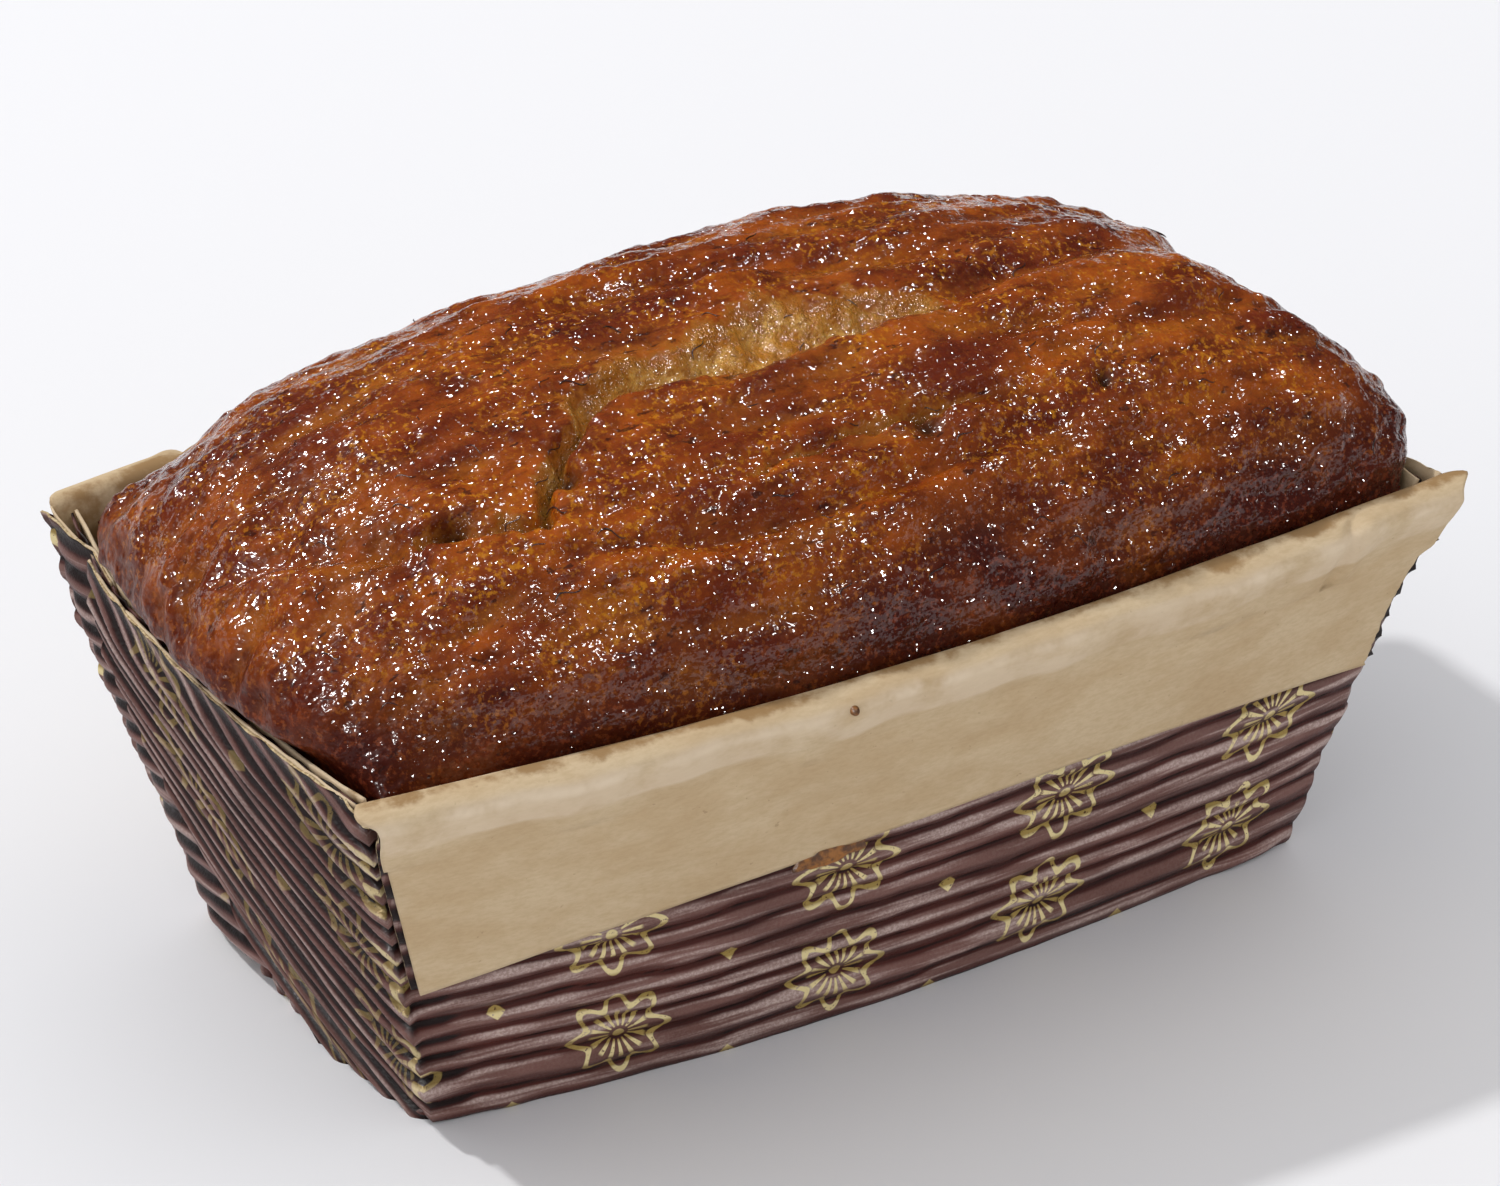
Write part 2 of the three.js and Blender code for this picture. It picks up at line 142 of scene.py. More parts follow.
def bell(x, middle, width):
    return np.exp(-(((x - middle) / width) ** 2))


def stack(*parts):
    return np.stack(np.broadcast_arrays(*parts), axis=-1)


def lumps(points, size, seed=0):
    """Smooth noise from about -1 to 1 at points (..., 3), with lumps of a size, or of one size per axis."""
    scaled = (points / size).reshape(-1, 3) + (7.3 * seed, 1.7 * seed, 3.9 * seed)
    values = [noise.noise(Vector(p)) for p in scaled.tolist()]
    return np.array(values).reshape(points.shape[:-1])


def lumps_along(share, size, seed):
    """Smooth noise along a line of a piece, on which a share of 1 is 60 mm long."""
    return lumps(stack(60 * share, 0 * share, 0 * share), size, seed)


def turned(points, half_turn=True):
    """Points after half a turn about Z, or as they are where half_turn is False."""
    return points * (-1, -1, 1) if half_turn else points


# ---- Case surfaces ----


def wall_point(w, z):
    """Near long wall's glue plane. w runs from -1 at the -X corner to 1 at the +X corner."""
    x = lerp(-up(SHORT_CORNER, z), up(LONG_CORNER, z), (w + 1) / 2)
    y = -up(HALF_WIDTH, z) - WALL_BULGE * (1 - w**2) * (1 - 0.12 * w)
    return stack(x, y, z)


def end_point(v, z, depth=0.0):
    """The -X end's glue plane. v runs from 0 at the near corner to 1 at the far one, and depth is inward."""
    near = up(SHORT_CORNER, z)
    far = up(LONG_CORNER, z) + SHORT_WING_STEP
    bulge = up(END_BULGE, z) * 4 * v * (1 - v)
    return stack(-lerp(near, far, v) - bulge + depth, lerp(-1, 1, v) * up(HALF_WIDTH, z), z)


def far_end_point(v, z, depth=0.0):
    return turned(end_point(1 - v, z, depth))


def end_rim(v):
    """Height of an end's top edge, lowest where the two wings meet."""
    share = np.where(v < END_RIM["at"], v / END_RIM["at"], (1 - v) / (1 - END_RIM["at"]))
    return lerp(END_RIM["corner"], END_RIM["dip"], np.clip(share, 0, 1))


def cuff_low(w):
    """Height of a cuff's lower edge."""
    left = (CUFF_LOW["at"] - w) / (CUFF_LOW["at"] + 1)
    right = (w - CUFF_LOW["at"]) / (1 - CUFF_LOW["at"])
    low = np.where(w < CUFF_LOW["at"], CUFF_LOW["short"], CUFF_LOW["long"])
    return lerp(CUFF_LOW["peak"], low, np.maximum(left, right) ** 2)


def cuff_sides(edges, z, w):
    """X of a cuff's two side edges at height z."""
    share = np.clip((z - cuff_low(w)) / (FOLD_HEIGHT - cuff_low(w)), 0, 1)
    notch = 1.1 * smooth(0.72, 0.66, share) * smooth(0, 0.4, share)
    return lerp(*edges["short"], share), lerp(*edges["long"], share**1.15) - notch


def leaned(points):
    """Points of the case with its far left corner bent outward."""
    x, y, z = np.moveaxis(np.asarray(points), -1, 0)
    out = np.interp(z, *CORNER_OUT) * smooth(-4, 28, y) * smooth(-40, -60, x)
    return points - stack(out, 0, 0)


# ---- Meshes ----


def grid_faces(rows, columns, first=0):
    """Quads of a grid of points that starts at index first, facing column direction x row direction."""
    corner = first + np.arange(rows - 1)[:, None] * columns + np.arange(columns - 1)[None, :]
    quads = np.stack([corner, corner + 1, corner + columns + 1, corner + columns], axis=-1)
    return quads.reshape(-1, 4)


def new_object(name, data):
    made = bpy.data.objects.new(name, data)
    bpy.context.scene.collection.objects.link(made)
    return made


def new_piece(name, points, faces, material, uv=None, values=None):
    """A mesh object from points in mm, with a UV map in mm and float or vector values at the points."""
    mesh = bpy.data.meshes.new(name)
    points = np.asarray(points, dtype=float).reshape(-1, 3)
    mesh.from_pydata((points * MM).tolist(), [], [list(map(int, face)) for face in faces])
    mesh.polygons.foreach_set("use_smooth", np.ones(len(mesh.polygons), dtype=bool))
    if uv is not None:
        corners = np.zeros(len(mesh.loops), dtype=np.int32)
        mesh.loops.foreach_get("vertex_index", corners)
        layer = mesh.uv_layers.new(name="sheet")
        layer.data.foreach_set("uv", np.asarray(uv, dtype=float).reshape(-1, 2)[corners].ravel())
    for key, value in (values or {}).items():
        value = np.asarray(value, dtype=float)
        if value.size == len(points):
            mesh.attributes.new(key, "FLOAT", "POINT").data.foreach_set("value", value.ravel())
        else:
            mesh.attributes.new(key, "FLOAT_VECTOR", "POINT").data.foreach_set("vector", value.ravel())
    mesh.materials.append(material)
    mesh.update()
    return new_object(name, mesh)


def finished(piece):
    """Turns the piece's modifiers into plain mesh."""
    depsgraph = bpy.context.evaluated_depsgraph_get()
    evaluated = piece.evaluated_get(depsgraph)
    mesh = bpy.data.meshes.new_from_object(
        evaluated, preserve_all_data_layers=True, depsgraph=depsgraph
    )
    mesh.name = piece.name
    piece.modifiers.clear()
    piece.data = mesh
    return piece


def thickened(piece, thickness, edge_material=None):
    """Gives a sheet its thickness behind its faces, with the cut edges in a material of their own."""
    solid = piece.modifiers.new("thickness", "SOLIDIFY")
    solid.thickness = thickness * MM
    solid.offset = -1
    if edge_material:
        piece.data.materials.append(edge_material)
        solid.material_offset_rim = 1
    return finished(piece)


def belongs(piece, slot, *nodes):
    """Puts a finished piece on the body and hides the imported nodes it stands for. slot is not used."""
    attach(piece, "root")
    if nodes:
        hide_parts(*nodes)
    return piece


# ---- Nodes and colours ----

MATH = "ShaderNodeMath"
VECTOR_MATH = "ShaderNodeVectorMath"
MAP_RANGE = "ShaderNodeMapRange"
SMOOTH = {"interpolation_type": "SMOOTHSTEP"}
TIMES = {"operation": "MULTIPLY"}
TIMES_PLUS = {"operation": "MULTIPLY_ADD"}


def colour(hex_value):
    """An sRGB hex value as linear RGBA."""
    channels = [int(hex_value[i : i + 2], 16) / 255 for i in (1, 3, 5)]
    linear = [c / 12.92 if c <= 0.04045 else ((c + 0.055) / 1.055) ** 2.4 for c in channels]
    return (*linear, 1.0)


def fill(tree, node, inputs):
    """Gives a node's sockets, by name or index, a value, a hex colour or another node's output."""
    for key, value in inputs.items():
        if isinstance(value, bpy.types.NodeSocket):
            tree.links.new(value, node.inputs[key])
        elif isinstance(value, str) and value.startswith("#"):
            node.inputs[key].default_value = colour(value)
        else:
            node.inputs[key].default_value = value


def add(tree, kind, inputs=(), output=0, **settings):
    """Adds a node and returns one of its outputs, or the node if output is None. inputs holds what its
    sockets get, in their order or by name or index."""
    node = tree.nodes.new(kind)
    for key, value in settings.items():
        setattr(node, key, value)
    fill(tree, node, inputs if isinstance(inputs, dict) else dict(enumerate(inputs)))
    return node if output is None else node.outputs[output]


def layered(tree, base, *layers):
    """A base colour with others laid over it. A layer has its share of the surface, how strong it is there,
    and its colour."""
    for share, strength, top in layers:
        if strength < 1:
            share = add(tree, MATH, (share, strength), **TIMES)
        base = add(tree, "ShaderNodeMix", {0: share, 6: base, 7: top}, output=2, data_type="RGBA")
    return base


def grain(tree, coordinates, size, detail=2.0, roughness=0.5, stretch=(1, 1, 1), limits=None):
    """Noise whose grains are about size mm across, on coordinates in metres. With limits, those become 0
    and 1."""
    scaled = add(tree, "ShaderNodeMapping", {0: coordinates, 3: stretch})
    sizes = {"Vector": scaled, "Scale": 1 / (size * MM), "Detail": detail, "Roughness": roughness}
    made = add(tree, "ShaderNodeTexNoise", sizes)
    return add(tree, MAP_RANGE, (made, *limits), **SMOOTH) if limits else made


def new_material(name, *values):
    """A material, its tree and shader, the object's coordinates, and the mesh's values that it reads."""
    material = bpy.data.materials.new(name)
    material.use_nodes = True
    tree = material.node_tree
    tree.nodes.clear()
    shader = add(tree, "ShaderNodeBsdfPrincipled", output=None)
    add(tree, "ShaderNodeOutputMaterial", {"Surface": shader.outputs["BSDF"]}, output=None)
    here = add(tree, "ShaderNodeTexCoord", output="Object")
    read = [add(tree, "ShaderNodeAttribute", output="Fac", attribute_name=value) for value in values]
    return material, tree, shader, here, *read


# ---- Materials ----


def glazed_crust():
    """Baked banana cake crust under a thin sugar glaze: browned unevenly, wet-looking, with a fine crumb
    under the glaze that breaks every reflection into sparks."""
    material, tree, shader, here, opening, baked, hollow, raised, dull_overhang_and_sheen_streaks = new_material(
        "browned_banana_cake_crust_glazed", "opening", "baked", "hollow", "raised", "dull"
    )

    patches = grain(tree, here, 9, 4, 0.55, (0.7, 1.2, 1), (0.36, 0.66))
    streaks = grain(tree, here, 2.6, 4, 0.6, (0.45, 1.2, 1), (0.45, 0.68))
    porous = grain(tree, here, 7, 4, 0.6, (0.6, 1, 1), (0.42, 0.6))
    dots = grain(tree, here, 0.7, 3, 0.65, limits=(0.5, 0.66))
    flecks = grain(tree, here, 1.5, 3, 0.6, (0.6, 1.3, 1), (0.62, 0.7))
    more_dots = add(tree, MATH, (porous, 0.6, 0.08), **TIMES_PLUS)
    furrow = add(tree, MAP_RANGE, (raised, 0.5, 0.15), **SMOOTH)
    golden = layered(
        tree,
        "#68230a",
        (patches, 1, "#a04c0a"),
        (furrow, 0.55, "#a45e14"),
        (streaks, 0.75, "#521704"),
        (add(tree, MATH, (dots, more_dots), **TIMES), 1, "#c98212"),
    )
    dark = layered(tree, "#42130a", (dots, 1, "#6c2e1a"))

    crumb_light = grain(tree, here, 2.6, 4, 0.6, limits=(0.4, 0.66))
    crumb_dark = grain(tree, here, 1.3, 4, 0.65, limits=(0.48, 0.66))
    crumb = layered(tree, "#ad6f1e", (crumb_light, 1, "#dcab55"), (crumb_dark, 0.7, "#8a4a12"))
    torn = add(tree, MATH, (grain(tree, here, 2.8, 4, 0.65), 1.6, opening), **TIMES_PLUS)
    torn_skin = add(tree, MAP_RANGE, (torn, 1.0, 1.3), **SMOOTH)
    crumbly = add(tree, MAP_RANGE, (torn, 1.25, 1.75), **SMOOTH)
    whole = layered(
        tree,
        golden,
        (baked, 1, dark),
        (flecks, 0.75, "#30100d"),
        (torn_skin, 1, "#9a5a18"),
        (crumbly, 1, crumb),
        # Painted shade in the burst holes.
        (hollow, 1, "#3a1c0a"),
    )

    # Ripples under the glaze, with fine pits, wrinkles along the loaf, and lumps where the crumb shows.
    height = grain(tree, here, 1.5, 1.0, 0.5)
    pits = grain(tree, here, 0.6, 1.0, 0.5)
    wrinkles = grain(tree, here, 2.6, 3, 0.5, (0.35, 1.2, 1))
    broken = add(tree, MATH, (crumbly, grain(tree, here, 1.7, 3, 0.6)), **TIMES)
    for relief, strength in ((pits, 0.12), (wrinkles, 1.3), (broken, 2.5)):
        height = add(tree, MATH, (relief, strength, height), **TIMES_PLUS)
    bump = add(tree, "ShaderNodeBump", {"Strength": 1.0, "Distance": 0.38 * MM, "Height": height})
    sugar = beads(tree, here, bump, size=0.24, tilt=0.9, share=0.36)
    sugar = beads(tree, here, sugar, size=0.45, tilt=0.8, share=0.16)
    # Where the crust hangs over the rim it is dull, rubbed against the paper.
    dull = add(tree, MAP_RANGE, (dull_overhang_and_sheen_streaks, 0.1, 0.8), **SMOOTH)
    surface = {
        "Base Color": whole,
        "Roughness": add(tree, MATH, (grain(tree, here, 5, 3, 0.5), 0.4, 0.2), **TIMES_PLUS),
        "IOR": 1.45,
        "Specular IOR Level": 0.06,
        "Subsurface Weight": 0.12,
        "Subsurface Radius": (1.0, 0.35, 0.12),
        "Subsurface Scale": 1.2 * MM,
        "Normal": bump,
        "Coat Weight": add(tree, MATH, (dull, -0.75, 1.0), **TIMES_PLUS),
        "Coat Roughness": 0.11,
        "Coat IOR": 1.48,
        "Coat Normal": sugar,
    }
    fill(tree, shader, surface)
    return material


def beads(tree, coordinates, normal, size, tilt, share):
    """The glaze's normal with small facets of sugar in it. Each takes a tilt of its own, so one here and one
    there mirrors the lamp, as a spark about size mm across."""
    places = {"Vector": coordinates, "Scale": 1 / (size * MM)}
    cell = add(tree, "ShaderNodeTexVoronoi", places, output="Color")
    again = add(tree, "ShaderNodeTexWhiteNoise", (cell,), output="Color", noise_dimensions="3D")
    both = add(tree, VECTOR_MATH, (cell, again), operation="ADD")
    centred = add(tree, VECTOR_MATH, (both, (1, 1, 1)), operation="SUBTRACT")
    chance = add(tree, "ShaderNodeSeparateXYZ", (cell,))
    chosen = add(tree, MATH, (chance, share), operation="LESS_THAN")
    strength = add(tree, MATH, (chosen, tilt), **TIMES)
    lean = add(tree, VECTOR_MATH, {0: centred, "Scale": strength}, operation="SCALE")
    tilted = add(tree, VECTOR_MATH, (normal, lean), operation="ADD")
    return add(tree, VECTOR_MATH, (tilted,), operation="NORMALIZE")


def kraft_paper():
    """Uncoated kraft paper: matt, pale brown, with fine fibre speckle, a pale painted highlight in patches
    along the roll's crest, and with fat from the cake soaked into it near the rim."""
    material, tree, shader, here, crest, lip = new_material("uncoated_kraft_paper", "crest", "lip")
    cloud = grain(tree, here, 5, 4, 0.6, (0.5, 1, 1), (0.3, 0.7))
    highlight_patches = grain(tree, here, 8, 4, 0.6, limits=(0.3, 0.6))
    fat = add(tree, MATH, (grain(tree, here, 6, 5, 0.62), 2.4, lip), **TIMES_PLUS)
    paper = layered(
        tree,
        "#bfa580",
        (cloud, 1, "#ccb694"),
        (grain(tree, here, 0.55, 3, 0.7, (0.5, 1, 1.4), (0.35, 0.7)), 0.3, "#ab9069"),
        (grain(tree, here, 0.8, 2, 0.5, limits=(0.72, 0.78)), 0.35, "#876b47"),
        # Painted highlight, in patches, on the roll's crest.
        (add(tree, MATH, (crest, highlight_patches), **TIMES), 1, "#dfccb2"),
        (add(tree, MAP_RANGE, (fat, 1.85, 2.3), **SMOOTH), 0.85, "#8f6c3e"),
    )
    height = add(tree, MATH, (grain(tree, here, 0.35, 3, 0.7), 0.6, cloud), **TIMES_PLUS)
    bump = add(tree, "ShaderNodeBump", {"Strength": 0.25, "Distance": 0.08 * MM, "Height": height})
    surface = {"Base Color": paper, "Roughness": 0.75, "Specular IOR Level": 0.2, "Normal": bump}
    fill(tree, shader, surface)
    return material


def gold_ornament(tree, cell=(27.0, 15.4), petals=8, radius=5.0):
    """Where the gold print is: a petalled rosette in each cell, with a small lozenge between cells. The
    sheet's own coordinates and all sizes here are in mm."""
    sheet = add(tree, "ShaderNodeUVMap", uv_map="sheet")
    centred = []
    for axis, size in enumerate(cell):
        along = add(tree, "ShaderNodeSeparateXYZ", (sheet,), output=axis)
        cells = add(tree, MATH, (along, size), operation="DIVIDE")
        share = add(tree, MATH, (cells,), operation="FRACT")
        centred.append(add(tree, MATH, (share, size, -size / 2), **TIMES_PLUS))
    x, y = centred
    spot = add(tree, "ShaderNodeCombineXYZ", (x, y))
    distance = add(tree, VECTOR_MATH, (spot,), output="Value", operation="LENGTH")
    turn = add(tree, MATH, (y, x), operation="ARCTAN2")
    turns = add(tree, MATH, (turn, petals), **TIMES)
    wave = add(tree, MATH, (turns,), operation="COSINE")
    petal_edge = add(tree, MATH, (wave, 0.95, radius), **TIMES_PLUS)
    past_edge = add(tree, MATH, (distance, petal_edge), operation="SUBTRACT")
    off_edge = add(tree, MATH, (past_edge,), operation="ABSOLUTE")
    steep = add(tree, MATH, (wave,), operation="ABSOLUTE")
    off_ray = add(tree, MATH, (1, steep), operation="SUBTRACT")
    folded = add(tree, VECTOR_MATH, (spot,), operation="ABSOLUTE")
    reach = add(tree, VECTOR_MATH, (folded, (1, 1, 0)), output="Value", operation="DOT_PRODUCT")
    corner = sum(cell) / 2
    # The outline, the middle dot, the lozenge, the rays' width, and the rays' inner and outer ends.
    limits = [(off_edge, 0.52, 0.34), (distance, 0.75, 0.6), (reach, corner - 1.15, corner - 0.95)]
    limits += [(off_ray, 0.3, 0.16), (distance, 1.1, 1.3), (distance, 3.7, 3.2)]
    shape, middle, lozenge, rays, *ends = [add(tree, MAP_RANGE, limit, **SMOOTH) for limit in limits]
    for end in ends:
        rays = add(tree, MATH, (rays, end), **TIMES)
    for part in (rays, middle, lozenge):
        shape = add(tree, MATH, (shape, part), operation="MAXIMUM")
    return shape


def printed_ply():
    """Dark brown flexo print on kraft ply: a thin semi-gloss film with a fine tooth, and a gold ornament
    over it.
    Light and shade on the flutes are painted into its colour: a lighter brown on the crests' upper sides
    with brighter gold there, a greyish painted sheen in streaks on the crests, and painted shade, near
    black, in the valleys."""
    material, tree, shader, here, print_and_lit_share, ridge, across = new_material(
        "brown_printed_fluted_paper", "print", "ridge", "across"
    )
    cloud = grain(tree, here, 6, 4, 0.6, (0.3, 1, 1), (0.3, 0.7))
    tooth = grain(tree, here, 0.3, 3, 0.7, limits=(0.4, 0.62))
    # Painted light and shade: crown is the lighter colour of a crest's upper side as if lit, and
    # painted_valley_shade the near-black of a shaded valley. Pieces with less print are seen along their
    # flutes, where less of a flute is lit, so the print share also moves both.
    crown = add(tree, MATH, (print_and_lit_share, 0.54, ridge), **TIMES_PLUS)
    crown = add(tree, MAP_RANGE, (crown, 0.94, 1.28), **SMOOTH)
    painted_lit_side = add(tree, MAP_RANGE, (across, 0.3, 0.52), **SMOOTH)
    painted_lit_side = add(tree, MATH, (painted_lit_side, 0.85, 0.15), **TIMES_PLUS)
    crown = add(tree, MATH, (crown, painted_lit_side), **TIMES)
    painted_valley_shade = add(tree, MATH, (print_and_lit_share, 0.85, ridge), **TIMES_PLUS)
    painted_valley_shade = add(tree, MAP_RANGE, (painted_valley_shade, 1.22, 0.9), **SMOOTH)
    # A greyish painted sheen, grainy, in streaks along the lit crests.
    sheet = add(tree, "ShaderNodeUVMap", uv_map="sheet")
    # The sheet's own coordinates are in mm, not metres.
    dull_overhang_and_sheen_streaks = grain(tree, sheet, 1.5 / MM, 3, 0.6, (0.06, 1, 1), (0.44, 0.62))
    dull_overhang_and_sheen_streaks = add(tree, MATH, (dull_overhang_and_sheen_streaks, 0.85, 0.12), **TIMES_PLUS)
    painted_sheen = add(tree, MATH, (tooth, 0.45, 0.55), **TIMES_PLUS)
    for share in (dull_overhang_and_sheen_streaks, crown):
        painted_sheen = add(tree, MATH, (painted_sheen, share), **TIMES)
    gilded = gold_ornament(tree)
    patchy = grain(tree, here, 0.35, 3, 0.6, limits=(0.3, 0.42))
    for share in (patchy, print_and_lit_share):
        gilded = add(tree, MATH, (gilded, share), **TIMES)
    # The base brown, with painted light on the crests, painted shade in the valleys, a painted sheen, and
    # the gold, painted brighter on the lit crests.
    brown = layered(
        tree,
        layered(tree, "#3a130d", (cloud, 1, "#50221a")),
        (crown, 1, layered(tree, "#5c352c", (cloud, 1, "#764e46"))),
        (painted_valley_shade, 1, "#1a0705"),
        (painted_sheen, 1, "#c2aca4"),
        (gilded, 1, layered(tree, "#a38a4c", (crown, 1, "#e8d7a0"))),
    )
    creases = grain(tree, here, 2.2, 3, 0.5, (0.2, 1, 1))
    height = add(tree, MATH, (creases, 2.5, tooth), **TIMES_PLUS)
    bump = add(tree, "ShaderNodeBump", {"Strength": 0.25, "Distance": 0.08 * MM, "Height": height})
    surface = {
        "Base Color": brown,
        "Metallic": add(tree, MATH, (gilded, 0.2), **TIMES),
        "Roughness": add(tree, MATH, (tooth, 0.15, 0.36), **TIMES_PLUS),
        "Specular IOR Level": 0.2,
        "Normal": bump,
    }
    fill(tree, shader, surface)
    return material


def plain_material(name, size, detail, roughness_of_grain, limits, low, high, roughness):
    """A material of two colours in grains about size mm across."""
    material, tree, shader, here = new_material(name)
    share = grain(tree, here, size, detail, roughness_of_grain, limits=limits)
    fill(tree, shader, {"Base Color": layered(tree, low, (share, 1, high)), "Roughness": roughness})
    return material


def raw_edge():
    """Cut edge of the ply: unprinted, pale and fibrous."""
    return plain_material("cut_paper_edge", 0.4, 3, 0.6, (0.3, 0.7), "#8f7448", "#cdb88e", 0.85)


def baked_batter():
    """Batter that ran onto the paper and baked there: amber brown, dull, with darker edges."""
    return plain_material("baked_batter", 1.2, 3, 0.6, (0.35, 0.65), "#54300f", "#9c6220", 0.45)


def banana_thread():
    """Baked banana fibre: thin, nearly black, slightly glossy."""
    return plain_material("baked_banana_fibre", 1.5, 2, 0.5, (0.3, 0.7), "#1d0c0b", "#4a2320", 0.3)


# ---- Loaf ----

# Lines on the crust, seen from above, from -X to +X.
MAIN_LIP = [(-26.9, -13.6), (-23, -9.8), (-18.6, -9.9), (-5.4, -11.3), (9.4, -10.4), (20, -11)]
MAIN_WIDTHS = [2.0, 6.0, 9.0, 11.0, 7.0, 1.5]
BRANCH = [(-35.5, -21.5), (-32.2, -18.1), (-29.6, -15.9), (-25.5, -12)]
SECOND_CRACK = [(-48, -17.6), (-44.2, -17.4), (-40.9, -19.5), (-36.9, -20.6), (-33, -20.5)]
THIRD_CRACK = [(-15.1, -23.3), (-1.3, -22.6), (7.5, -22.7), (17.5, -22.3)]
FRONT_FOLD = [(-36, -23.6), (-26.9, -25), (-19, -27.3), (2.1, -26.9), (14.6, -25.6), (24, -26)]
FAR_FOLD = [(-27, 6.9), (-13.5, 8.1), (-2.2, 7.2), (10.3, 3.9), (21.3, -0.2), (30, -6)]
VALLEY = [(15, -9.8), (27, -5.5), (38, -4), (50, -3), (68, -0.5)]
RIGHT_FOLD = [(16, -16.5), (26, -15.5), (38, -18), (52, -15.6)]
LEFT_FOLD = [(-65, -2), (-62, -5.7), (-57.1, -9.7), (-54.7, -11.6), (-48, -17)]
# Each crack's line, widths along it, depth, and how open its crumb looks.
CRACKS = [
    (MAIN_LIP, MAIN_WIDTHS, 3.4, 1.0),
    (BRANCH, [1.5, 2.8, 3.0, 2.0], 2.8, 0.75),
    (SECOND_CRACK, [1.5, 2.2, 1.8, 1.5], 1.8, 0.5),
    (THIRD_CRACK, [0.8, 1.6, 2.6, 1.0], 1.2, 0.5),
]
# Each fold's line, depth, width, and the height of the ridge beside it.
FOLDS = [
    (FRONT_FOLD, 1.1, 1.2, 0.6),
    (FAR_FOLD, 1.3, 2.0, 0.4),
    (LEFT_FOLD, 1.7, 1.7, 0.7),
    (VALLEY, 1.8, 2.4, 0.4),
    (RIGHT_FOLD, 0.9, 1.2, 0.4),
]
# Broad swellings and hollows: height, then middle and width along X and along Y.
SWELLINGS = [
    (1.0, (18, 42), (-18, 6.5)),  # front lobe
    (1.5, (0, 36), (13, 9)),  # far lobe
    (-1.0, (40, 13), (14, 8)),
    (-1.3, (-30, 14), (24, 8)),
    (-3.4, (-57, 9), (27, 9)),  # far left shoulder
    (-5.0, (62, 7), (0.5, 6.5)),  # saddle at the right end
    (-1.2, (47, 6), (-19, 2.5)),
    (-3.4, (60, 8), (-10, 6.5)),
    (-2.2, (62, 7), (12, 8)),
    (-2.2, (66, 5), (-12, 8)),
    (-0.8, (54, 6), (-8, 5)),
    (-1.2, (61, 8), (4, 10)),
    (-1.8, (65, 5), (-13, 8)),
    (1.0, (51, 2.6), (-28.5, 3.5)),  # nodule at the near right
    (-1.3, (-56.5, 3), (-6.6, 4)),  # dent at the left
]
# Burst bubbles: X, Y, radius and depth.
HOLES = [(-43.8, -16.8, 1.5, 2.6), (7.5, -22.9, 1.6, 1.5), (28.8, -22.8, 0.9, 1.6), (-30.8, -17.2, 1.3, 2.0)]


def to_line(x, y, line):
    """Distance to a line, positive on its left, and the share of its length at the nearest point."""
    best = np.full(x.shape, np.inf)
    share = np.zeros(x.shape)
    corners = np.array(line, dtype=float)
    lengths = np.linalg.norm(np.diff(corners, axis=0), axis=1)
    starts = np.concatenate([[0], np.cumsum(lengths)])
    for i, length in enumerate(lengths):
        (ax, ay), (bx, by) = corners[i], corners[i + 1]
        ux, uy = (bx - ax) / length, (by - ay) / length
        along = np.clip((x - ax) * ux + (y - ay) * uy, 0, length)
        dx, dy = x - ax - along * ux, y - ay - along * uy
        distance = np.hypot(dx, dy) * np.where(ux * dy - uy * dx >= 0, 1, -1)
        nearer = np.abs(distance) < np.abs(best)
        best = np.where(nearer, distance, best)
        share = np.where(nearer, (starts[i] + along) / starts[-1], share)
    return best, share


def open_crack(x, y, line, widths, depth, ragged):
    """Relief and openness of a crack whose near side is a steep lip on the line."""
    distance, share = to_line(x, y, line)
    distance = distance + ragged
    width = np.interp(share, np.linspace(0, 1, len(widths)), widths)
    ends = smooth(0, 0.06, share) * smooth(1, 0.9, share)
    inside = smooth(-0.2, 0.9, distance) * smooth(width, 0.35 * width, distance)
    lip = 0.7 * bell(distance, -1.6, 1.8)
    openness = smooth(0.0, 0.6, distance) * smooth(1.3 * width, 0.45 * width, distance)
    return (lip - depth * inside) * ends, openness * ends


def groove(x, y, line, depth, width, ridge):
    """A crease on the line, with a soft ridge on its near side."""
    distance, share = to_line(x, y, line)
    ends = smooth(0, 0.12, share) * smooth(1, 0.88, share)
    return (ridge * bell(distance, -1.7 * width, 1.5 * width) - depth * bell(distance, 0, width)) * ends


def loaf_plan(a, b, z):
    """The loaf's section at height z. a and b run from -1 to 1 along X and Y."""
    corner = lerp(LONG_CORNER_ROUND, SHORT_CORNER_ROUND, smooth(-0.4, 0.4, a * b))
    w = a * np.sqrt(1 - corner * b * b / 2)
    v = (b * np.sqrt(1 - corner * a * a / 2) + 1) / 2
    clearance = LOAF_END_CLEARANCE - LOAF_END_SWELL * smooth(40, 47, z)
    over = smooth(47.5, 51, z)
    left = end_point(v, z, clearance - LEFT_SWELL * over * smooth(0, 0.25, v) * smooth(1, 0.8, v))[..., 0]
    right = far_end_point(v, z, clearance - RIGHT_SWELL * over * smooth(0.5, 0.15, v))[..., 0]
    near = wall_point(w, z)[..., 1] + LOAF_CLEARANCE
    far = -wall_point(-w, z)[..., 1] - LOAF_CLEARANCE
    return stack(lerp(left, right, (w + 1) / 2), lerp(near, far, v), z)


def dome_share(a, b):
    """The top crust's rise before its folds, as a share of the crown."""
    far_right = np.where(a > 0, np.clip((b + 0.3) / 0.5, 0, 1), 0)
    left = np.clip(-2 * a, 0, 1)
    power = lerp(4.6 - 1.1 * left, 3.1, far_right)
    along = np.maximum(1 - np.abs(a) ** power, 0) ** lerp(0.5, 0.66, far_right)
    across = np.maximum(1 - np.abs(b) ** 2.3, 0) ** 0.64
    return along * across


